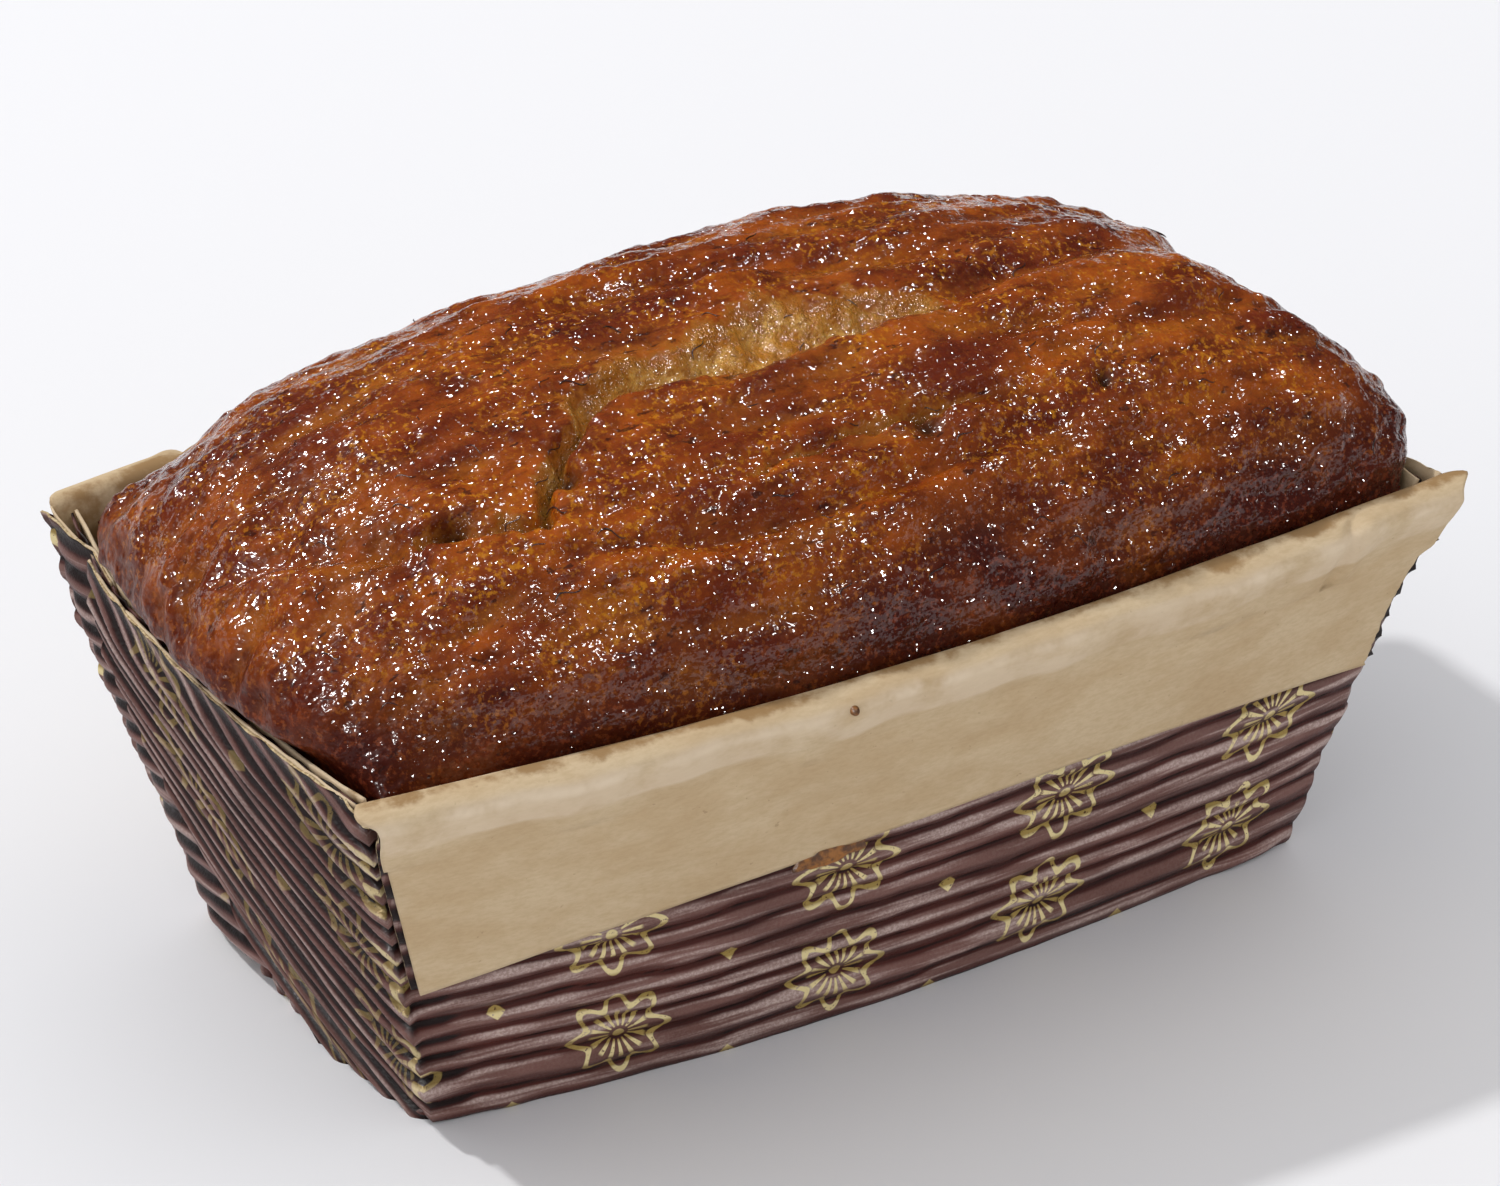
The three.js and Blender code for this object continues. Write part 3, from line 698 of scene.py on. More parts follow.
def crust_forms(points):
    """At points on the dome: the crust's relief in mm, how far it is open at cracks, and how much painted
    shade lies in its burst holes.
    """
    x, y = points[..., 0], points[..., 1]
    ragged = 0.9 * lumps(points, 3.0, 1) + 0.5 * lumps(points, 1.2, 2)
    relief, opening, hollow = np.zeros((3, *x.shape))
    for line, widths, depth, shown in CRACKS:
        crack, openness = open_crack(x, y, line, widths, depth, ragged)
        relief = relief + crack
        opening = np.maximum(opening, shown * openness)
    for fold in FOLDS:
        relief = relief + groove(x, y, *fold)
    for height, along, across in SWELLINGS:
        relief = relief + height * bell(x, *along) * bell(y, *across)
    # Burst holes, sunk into the crust and given painted shade inside.
    for hole_x, hole_y, radius, depth in HOLES:
        inside = bell(np.hypot(x - hole_x, y - hole_y), 0, radius)
        relief = relief - depth * inside
        hollow = np.maximum(hollow, inside)
    return relief, opening, hollow


def crust_texture(points, opening):
    """Wrinkles that run along the loaf, lumps and grains, in mm, and how raised the crust is by wrinkles."""
    wrinkles = 0.75 * lumps(points, np.array([17, 3.6, 6]), 3)
    wrinkles = wrinkles + 0.5 * lumps(points, np.array([8, 2.0, 4]), 4)
    rolling = 0.5 * lumps(points, 11, 5) + 0.35 * lumps(points, 4.5, 6)
    grains = 0.2 * lumps(points, 1.9, 7) + 0.14 * lumps(points, 1.05, 8)
    crumb = 0.55 * lumps(points, 2.4, 9) + 0.3 * lumps(points, 1.2, 10)
    raised = np.clip(0.5 + 0.55 * (wrinkles + 0.5 * rolling), 0, 1)
    return wrinkles + rolling + grains + opening * crumb, raised


def grid_normals(points):
    across = np.gradient(points, axis=1)
    along = np.gradient(points, axis=0)
    normals = np.cross(across, along)
    return normals / (np.linalg.norm(normals, axis=-1, keepdims=True) + 1e-9)


def spaced(count, crowding):
    """Shares from -1 to 1 that crowd towards both ends."""
    even = np.linspace(-1, 1, count)
    return lerp(even, np.sin(even * math.pi / 2), crowding)


def border(rows, columns):
    """Rows and columns of the points round a grid's border."""
    places = [(0, c) for c in range(columns - 1)]
    places += [(r, columns - 1) for r in range(rows - 1)]
    places += [(rows - 1, c) for c in range(columns - 1, 0, -1)]
    places += [(r, 0) for r in range(rows - 1, 0, -1)]
    return np.array(places).T


def make_loaf(material, columns=398, rows=222):
    """The banana loaf as one closed mesh, with the folds, cracks and grains of its crust."""
    a, b = np.meshgrid(spaced(columns, 0.72), spaced(rows, 0.72))
    share = dome_share(a, b)
    rise = CROWN * share
    front = smooth(-0.55, -0.95, b) * smooth(-0.6, 0.3, a)
    dome = loaf_plan(a, b, SHOULDER + np.minimum(rise, OVERHANG))
    dome[..., 2] = SHOULDER + rise
    normals = grid_normals(dome)
    relief, opening, hollow = crust_forms(dome)
    fade = np.clip(share * 2.4, 0, 1)
    texture, raised = crust_texture(dome, opening)
    texture = (texture + 0.6 * front * lumps(dome, 2.6, 13)) * smooth(0, 0.25, share)
    rising = normals + (0, 0, 2.5)
    rising = rising / np.linalg.norm(rising, axis=-1, keepdims=True)
    top = dome + rising * (relief * fade)[..., None] + normals * texture[..., None]

    # How dark it is baked: more at the front and the ends, and low down, but not where it is torn open.
    low = smooth(0.6, 0.1, share)
    blotches = 0.5 + 0.9 * lumps(dome, 7, 11)
    ends = 0.2 * smooth(-40, -60, dome[..., 0]) + 0.25 * smooth(44, 62, dome[..., 0])
    baked = np.clip(0.7 * low + 0.75 * front * blotches + ends + 0.25 * lumps(dome, 12, 12), 0, 1)
    baked = baked * (1 - opening)
    overhanging = smooth(-52, -59, dome[..., 0]) * smooth(59, 54, dome[..., 2])

    # The sides are rings of points below the top's border, and the bottom closes at a middle point.
    edge_rows, edge_columns = border(rows, columns)
    edge_a, edge_b = a[edge_rows, edge_columns], b[edge_rows, edge_columns]
    rings = []
    for z, width in LOAF_SIDE:
        ring = loaf_plan(edge_a, edge_b, np.full(edge_a.shape, float(z)))
        rings.append(ring * (width, width, 1))
    points = [top.reshape(-1, 3), *rings, np.array([[0, 0, LOAF_BOTTOM]])]
    faces = grid_faces(rows, columns).tolist()
    above = edge_rows * columns + edge_columns
    first = rows * columns
    for _ in rings:
        below = first + np.arange(len(edge_a))
        quads = np.stack([below, np.roll(below, -1), np.roll(above, -1), above], axis=-1)
        faces += quads.tolist()
        above = below
        first += len(edge_a)
    faces += [[int(n), int(p), first] for p, n in zip(above, np.roll(above, -1))]
    hidden = len(edge_a) * len(rings) + 1
    # What the crust's material reads on top, and what it reads on the sides and the bottom.
    marks = {
        "opening": (opening, 0),
        "hollow": (hollow, 0),
        "baked": (baked, 0.6),
        "raised": (raised, 0.5),
        "dull": (overhanging, 1),
    }
    values = {name: np.append(on_top, np.full(hidden, rest)) for name, (on_top, rest) in marks.items()}
    return new_piece("banana_loaf", np.concatenate(points), faces, material, values=values)


# ---- Fluted ply ----


def new_tree(name, sizes):
    """A geometry tree with a named input for each size, and what its inputs give."""
    tree = bpy.data.node_groups.new(name, "GeometryNodeTree")
    face = tree.interface
    face.new_socket("Geometry", in_out="INPUT", socket_type="NodeSocketGeometry")
    for size, value in sizes.items():
        kind = "NodeSocketInt" if isinstance(value, int) else "NodeSocketFloat"
        face.new_socket(size, in_out="INPUT", socket_type=kind).default_value = value
    face.new_socket("Geometry", in_out="OUTPUT", socket_type="NodeSocketGeometry")
    return tree, add(tree, "NodeGroupInput", output=None).outputs


def closed_tree(tree, geometry, material):
    """Ends a geometry tree with plain mesh in one material."""
    real = add(tree, "GeometryNodeRealizeInstances", (geometry,))
    painted = add(tree, "GeometryNodeSetMaterial", {"Geometry": real, "Material": material})
    add(tree, "NodeGroupOutput", {"Geometry": painted}, output=None)
    return tree


def flute_tree(material):
    """Geometry nodes: raises flutes on a sheet. A sheet's level is its height in mm across the flutes, its
    outward is their direction, and its fluted is how much of the full height they have there."""
    sizes = {"Pitch": FLUTE_PITCH, "Height": FLUTE_HEIGHT, "Roundness": 0.8, "Sag": 0.75, "Sag size": 16.0}
    tree, given = new_tree("flutes", sizes)
    named = "GeometryNodeInputNamedAttribute"
    level = add(tree, named, {"Name": "level"})
    fluted = add(tree, named, {"Name": "fluted"})
    outward = add(tree, named, {"Name": "outward"}, data_type="FLOAT_VECTOR")
    scale = add(tree, MATH, (1 / MM, given["Sag size"]), operation="DIVIDE")
    wander = add(tree, "ShaderNodeTexNoise", {"Scale": scale, "Detail": 2.0})
    wander = add(tree, MATH, (wander, 0.5), operation="SUBTRACT")
    sag = add(tree, MATH, (wander, given["Sag"]), **TIMES)
    level = add(tree, MATH, (sag, 4.0, level), **TIMES_PLUS)
    flutes = add(tree, MATH, (level, given["Pitch"]), operation="DIVIDE")
    across = add(tree, MATH, (flutes,), operation="FRACT")
    turn = add(tree, MATH, (across, math.pi), **TIMES)
    ridge = add(tree, MATH, (turn,), operation="SINE")
    ridge = add(tree, MATH, (ridge, 0.0), operation="MAXIMUM")
    ridge = add(tree, MATH, (ridge, given["Roundness"]), operation="POWER")
    height = ridge
    for share in (fluted, given["Height"], MM):
        height = add(tree, MATH, (height, share), **TIMES)
    geometry = given["Geometry"]
    # ridge and across go to the ply's material, which paints the flutes' light and shade from them.
    for name, value in (("ridge", ridge), ("across", across)):
        marks = {"Geometry": geometry, "Name": name, "Value": value}
        geometry = add(tree, "GeometryNodeStoreNamedAttribute", marks)
    offset = add(tree, VECTOR_MATH, {0: outward, "Scale": height}, operation="SCALE")
    moved = add(tree, "GeometryNodeSetPosition", {"Geometry": geometry, "Offset": offset})
    return closed_tree(tree, moved, material)


def with_tree(piece, tree, **values):
    """Runs a geometry tree on the piece, with inputs set by their identifiers, and keeps the plain mesh."""
    modifier = piece.modifiers.new(tree.name, "NODES")
    for socket in tree.interface.items_tree:
        if socket.in_out == "INPUT" and socket.name in values:
            modifier[socket.identifier] = values[socket.name]
    modifier.node_group = tree
    return finished(piece)


def fluted_sheet(piece, tree, edge=None, **sizes):
    """Makes fluted brown ply of a flat sheet, its cut edges in a material of their own."""
    with_tree(piece, tree, **sizes)
    thickened(piece, PLY_SHEET, edge)
    return belongs(piece, "brown_fluted_paper", "fluted_ply")


def outward_normals(points):
    """Level directions out of a sheet's columns, mitred where the sheet folds."""
    steps = np.diff(points, axis=1)
    steps = steps / np.linalg.norm(steps, axis=-1, keepdims=True)
    before = np.concatenate([steps[:, :1], steps], axis=1)
    after = np.concatenate([steps, steps[:, -1:]], axis=1)
    normals = [stack(s[..., 1], -s[..., 0], 0 * s[..., 0]) for s in (before, after)]
    mitre = normals[0] + normals[1]
    mitre = mitre / np.linalg.norm(mitre, axis=-1, keepdims=True)
    stretch = np.clip(np.sum(mitre * normals[0], axis=-1, keepdims=True), 0.6, 1)
    return mitre / stretch


def wing_strips(rows, long_columns, short_columns):
    """Levels and glue-plane points of a wall's two wings, from their free edges to the wall's corners."""
    t = np.linspace(0, 1, rows)[:, None]
    long_v = np.linspace(1, 0, long_columns) * np.interp(t, WING_LEVELS, LONG_WING["edge"])
    long_z = t * end_rim(long_v)
    long_wing = end_point(long_v, long_z, LONG_WING["swing"] * long_v * (1 - 0.8 * t))
    long_level = long_z - LONG_WING["rise"] * long_v
    tucked = np.interp(t, WING_LEVELS, SHORT_WING["tucked"])
    short_v = np.linspace(0, 1, short_columns) * (tucked + 0.08)
    short_z = lerp(SHORT_WING["foot"] * smooth(0, 0.15, short_v), end_rim(1 - short_v), t)
    short_depth = lerp(SHORT_WING_STEP, SHORT_WING["inner"], np.clip(short_v / tucked, 0, 1) ** 2)
    short_wing = far_end_point(short_v, short_z, short_depth)
    short_level = short_z - SHORT_WING["rise"] * short_v
    return t, (long_level, long_wing), (short_level, short_wing)


def make_wall(name, ply, edge, tree, seed, half_turn=False):
    """A long wall with its wings, as one strip: down the long wing, along the wall, into the short wing."""
    t, long_strip, short_strip = wing_strips(rows=122, long_columns=104, short_columns=46)
    (long_level, long_wing), (short_level, short_wing) = long_strip, short_strip
    wall_w = spaced(166, 0.35)
    wall_level = t * np.full(wall_w.shape, FOLD_HEIGHT)
    wall = wall_point(wall_w[None, :], wall_level)
    glue = np.concatenate([long_wing[:, :-1], wall, short_wing[:, 1:]], axis=1)
    level = np.concatenate([long_level[:, :-1], wall_level, short_level[:, 1:]], axis=1)
    outward = outward_normals(glue)
    walk = np.linalg.norm(np.diff(glue[len(glue) // 2], axis=0), axis=1)
    u = np.concatenate([[0], np.cumsum(walk)])[None, :] + 0 * level
    sheet = stack(u, 0 * u, level)

    # The strip's two corners, what the ply does there, and how it buckles.
    first = long_wing.shape[1] - 1
    corners = [u[0, first], u[0, first + len(wall_w) - 1]]
    notched, flattened = bell(u, corners[0], 1.5), bell(u, corners[1], 2.2)
    near_corner = bell(u, corners[0], 6.0) + bell(u, corners[1], 6.0)
    wings = np.maximum(smooth(corners[0], corners[0] - 3, u), smooth(corners[1], corners[1] + 3, u))
    streaks = lumps(sheet, np.array([26, 9, 3.4]), seed)
    buckled = (0.1 + 0.22 * near_corner) * lumps(sheet, np.array([6, 9, 3.0]), seed + 1)
    fine = 0.05 * lumps(sheet, np.array([4, 9, 0.9]), seed + 3)
    points = glue + outward * (PAPER + buckled + fine - 0.2 * notched)[..., None]
    top = smooth(0.97, 1.0, t) * 0.35 * lumps(sheet * (1, 0, 0), 1.8, seed + 4)
    points[..., 2] += np.where(np.abs(points[..., 1]) < up(HALF_WIDTH, FOLD_HEIGHT) - 1, top, 0)
    bottom_band = smooth(4.2, 2.8, level) * smooth(8, 14, u - corners[0]) * smooth(8, 14, corners[1] - u)
    fluted = 0.8 + 0.35 * wings + 0.5 * streaks + 0.5 * notched
    fluted = fluted * (1 - 0.75 * bottom_band) * (1 - 0.6 * flattened)
    fluted = fluted * (1 - 0.85 * wings * smooth(0.9, 1.0, t))
    fluted = np.clip(fluted, 0.15, 1.7)
    points, outward = leaned(turned(points, half_turn)), turned(outward, half_turn)
    # Less print on the wings and beside the near corner; the print share also sets how much of a flute the
    # ply's material paints lit and how much in shade.
    print_and_lit_share = 1 - 0.65 * wings - 0.35 * (1 - wings) * smooth(5.5, 3, u - corners[0])
    uneven = level + 1.3 * lumps(stack(0 * u, 0 * u, level), 7.0, seed + 6) * (1 - wings)
    values = {"level": uneven, "outward": outward, "fluted": fluted, "print": print_and_lit_share}
    piece = new_piece(name, points, grid_faces(*level.shape), ply, stack(u, level), values)
    return fluted_sheet(piece, tree, edge)


def make_end_panel(name, ply, tree, seed, half_turn=False):
    """The end's own panel, inside the wings: upright flutes, whose crumpled foot shows below the wings and
    whose cut top edge shows as a zigzag between the layers of the rim."""
    v = np.linspace(0.014, 0.986, 200)[None, :]
    t = np.linspace(0, 1, 84)[:, None] ** 1.4
    z = t * (end_rim(v) - 0.4)
    rise = SHORT_WING["foot"] * smooth(0.34, 0.5, v) * smooth(1, 0.88, v)
    inside = smooth(END_PANEL["tucked"], END_PANEL["tucked"] + END_PANEL["step"], z - rise)
    panel = end_point(v, z, lerp(END_PANEL["foot"], END_PANEL["inner"], inside))
    crumple = 0.6 * lumps(panel, 3.0, seed) * smooth(0, 1.5, z) + 0.3 * lumps(panel, 1.2, seed + 1)
    outward = outward_normals(panel[:, ::-1])[:, ::-1]
    points = panel + outward * (np.clip(crumple, -0.3, 0.3) * (1 - 0.6 * inside))[..., None]
    level = v * BASE_FLUTES * BASE_PITCH + 0 * z
    points, outward = leaned(turned(points, half_turn)), turned(outward, half_turn)
    # More print at the foot; the print share also makes the ply's material paint more of each flute lit and
    # less in shade.
    print_and_lit_share = 0.3 + 0.5 * smooth(4, 1, z) + 0 * v
    values = {"level": level, "outward": outward, "fluted": 1.0 - 0.65 * inside, "print": print_and_lit_share}
    piece = new_piece(name, points, grid_faces(*level.shape)[:, ::-1], ply, stack(level, z), values)
    return fluted_sheet(piece, tree, Sag=0.3, Pitch=BASE_PITCH)


def make_bottom(ply, edge, tree):
    """The case's bottom, with its flutes along the loaf."""
    w = np.linspace(-1, 1, 90)[None, :]
    v = np.linspace(0, 1, 16 * BASE_FLUTES + 1)[:, None]
    reach = 0.3
    near = wall_point(w, 0)[..., 1] - reach
    far = -wall_point(-w, 0)[..., 1] + reach
    left = end_point(v, 0, -0.2)[..., 0]
    right = far_end_point(v, 0, -0.2)[..., 0]
    x = lerp(left, right, (w + 1) / 2)
    points = stack(x, lerp(near, far, v), FLOOR - PAPER)
    level = v * BASE_FLUTES * BASE_PITCH + 0 * w
    outward = np.broadcast_to(np.array([0, 0, -1.0]), points.shape)
    values = {"level": level, "outward": outward, "fluted": 1.0 + 0 * level, "print": 1.0 + 0 * level}
    faces = grid_faces(*level.shape)[:, ::-1]
    piece = new_piece("fluted_bottom", points, faces, ply, stack(x, level), values)
    sizes = {"Sag": 0.0, "Roundness": 0.5, "Pitch": BASE_PITCH, "Height": BASE_FLUTE_HEIGHT}
    return fluted_sheet(piece, tree, edge, **sizes)


# ---- Kraft liner ----

SPILL_PLACE = -0.21  # of the batter that ran over the near rim, along the wall
CUFF_PLY_REACH = (-64.2, 66.2)
# Section of the rolled rim: out from the wall's glue plane, and up from the fold's height.
ROLL = [(-0.75, -6), (-0.75, -2.5), (-0.7, 0), (-0.35, 1.5), (0.6, 2.05), (2.2, 1.7), (3.6, 0.9)]
ROLL += [(4.0, -0.3), (3.8, -1.8), (3.5, -3.4), (CUFF_OUT, -5.5)]


def rounded(line, rounds):
    """Chaikin's corner cutting, with the ends kept."""
    points = np.array(line, dtype=float)
    for _ in range(rounds):
        near = 0.75 * points[:-1] + 0.25 * points[1:]
        far = 0.25 * points[:-1] + 0.75 * points[1:]
        inner = np.stack([near, far], axis=1).reshape(-1, 2)
        points = np.concatenate([points[:1], inner[1:-1], points[-1:]])
    return points


def over_the_rim(edges, w, seed, inset=0.0, beyond=0.0, cuff_rows=34):
    """Rows of points from a cuff's low edge up its outer face and over the roll to the wall's inner side.
    inset is how deep below the kraft's outer face they lie, and beyond how far they pass its side edges."""
    roll = rounded(ROLL, 2)[::-1]
    across = np.gradient(roll, axis=0)
    across = across / np.linalg.norm(across, axis=1, keepdims=True)
    roll = roll + inset * stack(-across[:, 1], across[:, 0])
    top_of_cuff = FOLD_HEIGHT + roll[0, 1]
    shares = np.linspace(0, 1, cuff_rows)[:-1]
    wave = lumps_along(w, 13, seed)
    ripple = lumps_along(w, 4.5, seed + 1)
    # The roll has a kink near the long end.
    kink = 0.7 * bell(w * 62, 47.5, 0.9) - 0.4 * bell(w * 62, 49.5, 1.2)
    rows = []
    for t in shares:
        z = lerp(cuff_low(w) + 0.5 * inset, top_of_cuff, t)
        y = wall_point(w, z)[..., 1] - roll[0, 0]
        short, long = cuff_sides(edges, z, w)
        ragged = 0.25 * lumps(np.array([60 * t, 0.0, seed]), 1.6, seed) + beyond
        rows.append(stack(lerp(short + 0.2 - 0.35 * beyond, long + ragged, (w + 1) / 2), y, z))
    for out, rise in roll:
        z = FOLD_HEIGHT + rise
        share = smooth(-0.75, 3.0, out)
        lift = share * (0.4 * wave + 0.2 * ripple - 0.5 * np.maximum(kink, 0))
        wall = wall_point(w, np.full(w.shape, z))
        short, long = cuff_sides(edges, np.minimum(z, FOLD_HEIGHT) + 0 * w, w)
        tip = 2.3 * smooth(3.9, 0.4, out) - 0.4 * beyond
        curl = 1.7 * smooth(4.2, 2.0, out) if edges is NEAR_CUFF else 0
        over = lerp(short + 0.2 - curl + 0.4 * beyond, long + tip, (w + 1) / 2)
        x = lerp(wall[..., 0], over, smooth(-0.5, 1.5, out))
        y = wall[..., 1] - out + share * (0.25 * ripple + 0.2 * wave + kink)
        rows.append(stack(x, y, z + lift))
    return np.stack(rows), roll, len(shares)


def inside_x(w, y, z):
    """X of the liner between the two ends at height z."""
    v = np.clip((y / up(HALF_WIDTH, z) + 1) / 2, 0, 1)
    depth = END_LINER + LINER / 2
    left = end_point(v, z, depth)[..., 0]
    right = far_end_point(v, z, depth)[..., 0]
    return lerp(left, right, (w + 1) / 2)


def liner_side(edges, w, seed):
    """Rows of points from a cuff's low edge over the rim and down to the floor, with how much painted
    highlight each gets on the roll's crest and how much it is on the fatty inner lip."""
    over, roll, cuff_rows = over_the_rim(edges, w, seed)
    # The cuff's rows are given a place far from the crest and the lip.
    out, rise = np.concatenate([np.full((cuff_rows, 2), (9.0, -9.0)), roll]).T[..., None]
    # Painted highlight: a pale line along the roll's crest, and a fainter pale band over the roll's outer
    # face down to an uneven lower edge.
    patchy = 0.75 + 0.6 * lumps_along(w, 9, seed + 5)
    highlight_low_edge = -3.4 + 1.3 * lumps_along(w, 11, seed + 6)
    crest = bell(out, 4.0, 0.8) * smooth(-1.4, 0.4, rise) * patchy
    crest = np.maximum(crest, 0.55 * smooth(3.0, 3.5, out) * smooth(highlight_low_edge, highlight_low_edge + 0.5, rise))
    lip = smooth(3.8, 0.6, out) + 0 * w
    if edges is NEAR_CUFF:
        lip[:5] += 1.3 * bell(w, SPILL_PLACE, 0.055) * np.linspace(1, 0, 5)[:, None]
    rows = []
    for z in np.linspace(FOLD_HEIGHT + roll[-1, 1], FLOOR + GAP + LINER, 14)[1:]:
        wall = wall_point(w, np.full(w.shape, z))
        y = wall[..., 1] + GAP + LINER
        rows.append(stack(inside_x(w, y, z), y, z))
    inner = np.stack(rows)
    crest = np.concatenate([crest, np.zeros(inner.shape[:2])])
    lip = np.concatenate([lip, np.ones(inner.shape[:2])])
    return np.concatenate([over, inner]), crest, lip


def kraft_sheet(piece, thickness):
    thickened(piece, thickness)
    return belongs(piece, "kraft_paper", "kraft_liner")


def make_liner(kraft):
    """The kraft ply from cuff to cuff as one sheet, over both rolls and through the case."""
    w = spaced(262, 0.15)
    near, near_crest_highlight, near_lip = liner_side(NEAR_CUFF, w, 21)
    far, far_crest_highlight, far_lip = liner_side(FAR_CUFF, w, 31)
    far, far_crest_highlight, far_lip = (part[::-1, ::-1] for part in (turned(far), far_crest_highlight, far_lip))
    points = np.concatenate([near, far])
    dents = 0.1 * lumps(points, np.array([9, 9, 3]), 41) + 0.15 * lumps(points, np.array([25, 9, 3.35]), 42)
    points = leaned(points + grid_normals(points) * dents[..., None])
    values = {
        "crest": np.concatenate([near_crest_highlight, far_crest_highlight]),
        "lip": np.concatenate([near_lip, far_lip]),
    }
    piece = new_piece("kraft_channel", points, grid_faces(*points.shape[:2]), kraft, values=values)
    return kraft_sheet(piece, CHANNEL_SHEET)


def make_cuff_ply(name, edges, seed, ply, edge, tree, half_turn=False):
    """The fluted ply inside a cuff and its roll, pressed nearly flat. It shows as a thin brown toothed line
    at the cuff's side edges and inside the roll's open ends."""
    w = np.linspace(-1, 1, 190)
    points, _, _ = over_the_rim(edges, w, seed, inset=0.62, beyond=1.6)
    walk = np.linalg.norm(np.diff(points[:, len(w) // 2], axis=0), axis=1)
    level = np.concatenate([[0], np.cumsum(walk)])[:, None] + 0 * w
    outward = turned(-grid_normals(points), half_turn)
    points[..., 0] = np.clip(points[..., 0], *CUFF_PLY_REACH)
    fluted = 0.35 + 0.35 * smooth(0.96, 1, np.abs(w)) + 0 * level
    values = {"level": level, "outward": outward, "fluted": fluted, "print": 0.3 + 0 * level}
    points = leaned(turned(points, half_turn))
    piece = new_piece(name, points, grid_faces(*level.shape), ply, stack(level, points[..., 0]), values)
    return fluted_sheet(piece, tree, edge, Pitch=CUFF_PITCH)


def make_end_liner(name, kraft, seed, half_turn=False):
    """The kraft ply on the inner face of an end."""
    v = np.linspace(0.012, 0.988, 110)[None, :]
    t = np.linspace(0, 1, 50)[:, None]
    ragged = 0.35 * lumps_along(v, 4, seed + 1)
    z = lerp(FLOOR + GAP, end_rim(v) + ragged, t)
    points = end_point(v, z, END_LINER + END_SHEET)
    points = points + stack(0.15 * lumps(points, 6.0, seed) * smooth(30, 46, z), 0, 0)
    points = leaned(turned(points, half_turn))
    # A painted highlight along its top edge, and fat soaked into it.
    values = {"crest": 0.4 * smooth(0.985, 1, t) + 0 * z, "lip": 0.6 + 0 * z}
    piece = new_piece(name, points, grid_faces(*z.shape), kraft, values=values)
    return kraft_sheet(piece, END_SHEET)


def make_wing_lining(name, kraft, seed, half_turn=False):
    """The kraft ply on the inner faces of a wall's two wings, which shows as their cut rim."""
    t, *strips = wing_strips(rows=40, long_columns=60, short_columns=22)
    points, faces, first = [], [], 0
    for level, strip in strips:
        outward = outward_normals(strip)
        ragged = 0.35 * lumps(strip * (1, 1, 0), 2.6, seed) * smooth(0.96, 1, t)
        inner = strip + outward * 0.05 + stack(0, 0, 0.3 + ragged)
        faces.append(grid_faces(*level.shape, first)[:, ::-1])
        points.append(inner.reshape(-1, 3))
        first += level.size
    points = np.concatenate(points)
    points = leaned(turned(points, half_turn))
    # A weak painted highlight in patches all over, and fat half soaked into it.
    values = {"crest": np.full(len(points), 0.35), "lip": np.full(len(points), 0.5)}
    piece = new_piece(name, points, np.concatenate(faces), kraft, values=values)
    return kraft_sheet(piece, WING_SHEET)


# ---- Small things on the loaf and the case ----


def thread_shape(material):
    """One bent banana fibre, about 2.2 mm long and 0.15 mm thick, lying along X."""
    sides, steps = 5, 9
    points = []
    for i in range(steps):
        t = i / (steps - 1)
        centre = Vector((2.2 * (t - 0.5), 0.4 * math.sin(5.2 * t), 0.06 * math.sin(3.1 * t) - 0.05))
        radius = 0.075 * math.sin(math.pi * (0.06 + 0.88 * t)) ** 0.5
        for k in range(sides):
            angle = 2 * math.pi * k / sides
            points.append(centre + Vector((0, radius * math.cos(angle), radius * math.sin(angle))))
    faces = []
    for i in range(steps - 1):
        for k in range(sides):
            n = (k + 1) % sides
            faces.append([i * sides + k, i * sides + n, (i + 1) * sides + n, (i + 1) * sides + k])
    faces.append(list(range(sides))[::-1])
    faces.append([(steps - 1) * sides + k for k in range(sides)])
    return new_piece("fibre_shape", [tuple(p) for p in points], faces, material)


def scatter_tree(shape, material):
    """Geometry nodes: lays copies of a shape on a surface where its share allows, turned at random."""
    tree, given = new_tree("scatter", {"Density": 16000.0, "Smallest": 0.5, "Largest": 1.4, "Seed": 5})
    share = add(tree, "GeometryNodeInputNamedAttribute", {"Name": "scattered"})
    density = add(tree, MATH, (share, given["Density"]), **TIMES)
    where = {"Mesh": given["Geometry"], "Density": density, "Seed": given["Seed"]}
    spots = add(tree, "GeometryNodeDistributePointsOnFaces", where, output=None).outputs
    random = "FunctionNodeRandomValue"
    limits = {"Min": (0.0, 0.0, -0.5), "Max": (0.0, 0.0, 1.3), "Seed": given["Seed"]}
    spin = add(tree, random, limits, data_type="FLOAT_VECTOR")
    turn = add(
        tree, "FunctionNodeRotateRotation", (spots["Rotation"], spin), rotation_space="LOCAL"
    )
    limits = {2: given["Smallest"], 3: given["Largest"], "Seed": 11}
    size = add(tree, random, limits, output=1, data_type="FLOAT")
    source = add(tree, "GeometryNodeObjectInfo", {"Object": shape}, output="Geometry")
    copies = {"Points": spots["Points"], "Instance": source, "Rotation": turn, "Scale": size}
    return closed_tree(tree, add(tree, "GeometryNodeInstanceOnPoints", copies), material)


def make_threads(loaf, material):
    """Banana fibres half sunk in the crust, most of them in and round the cracks."""
    shape = thread_shape(material)
    piece = new_object("banana_fibres", loaf.data.copy())
    count = len(piece.data.vertices)
    places = np.zeros(count * 3)
    piece.data.vertices.foreach_get("co", places)
    places = places.reshape(-1, 3) / MM
    opening = np.zeros(count)
    piece.data.attributes["opening"].data.foreach_get("value", opening)
    crust = smooth(52, 58, places[:, 2])
    share = crust * (0.35 + 0.5 * bell(places[:, 1], -12, 16)) + 0.8 * opening
    piece.data.attributes.new("scattered", "FLOAT", "POINT").data.foreach_set("value", share)
    piece = with_tree(piece, scatter_tree(shape, material))
    bpy.data.objects.remove(shape)
    return belongs(piece, "crust")


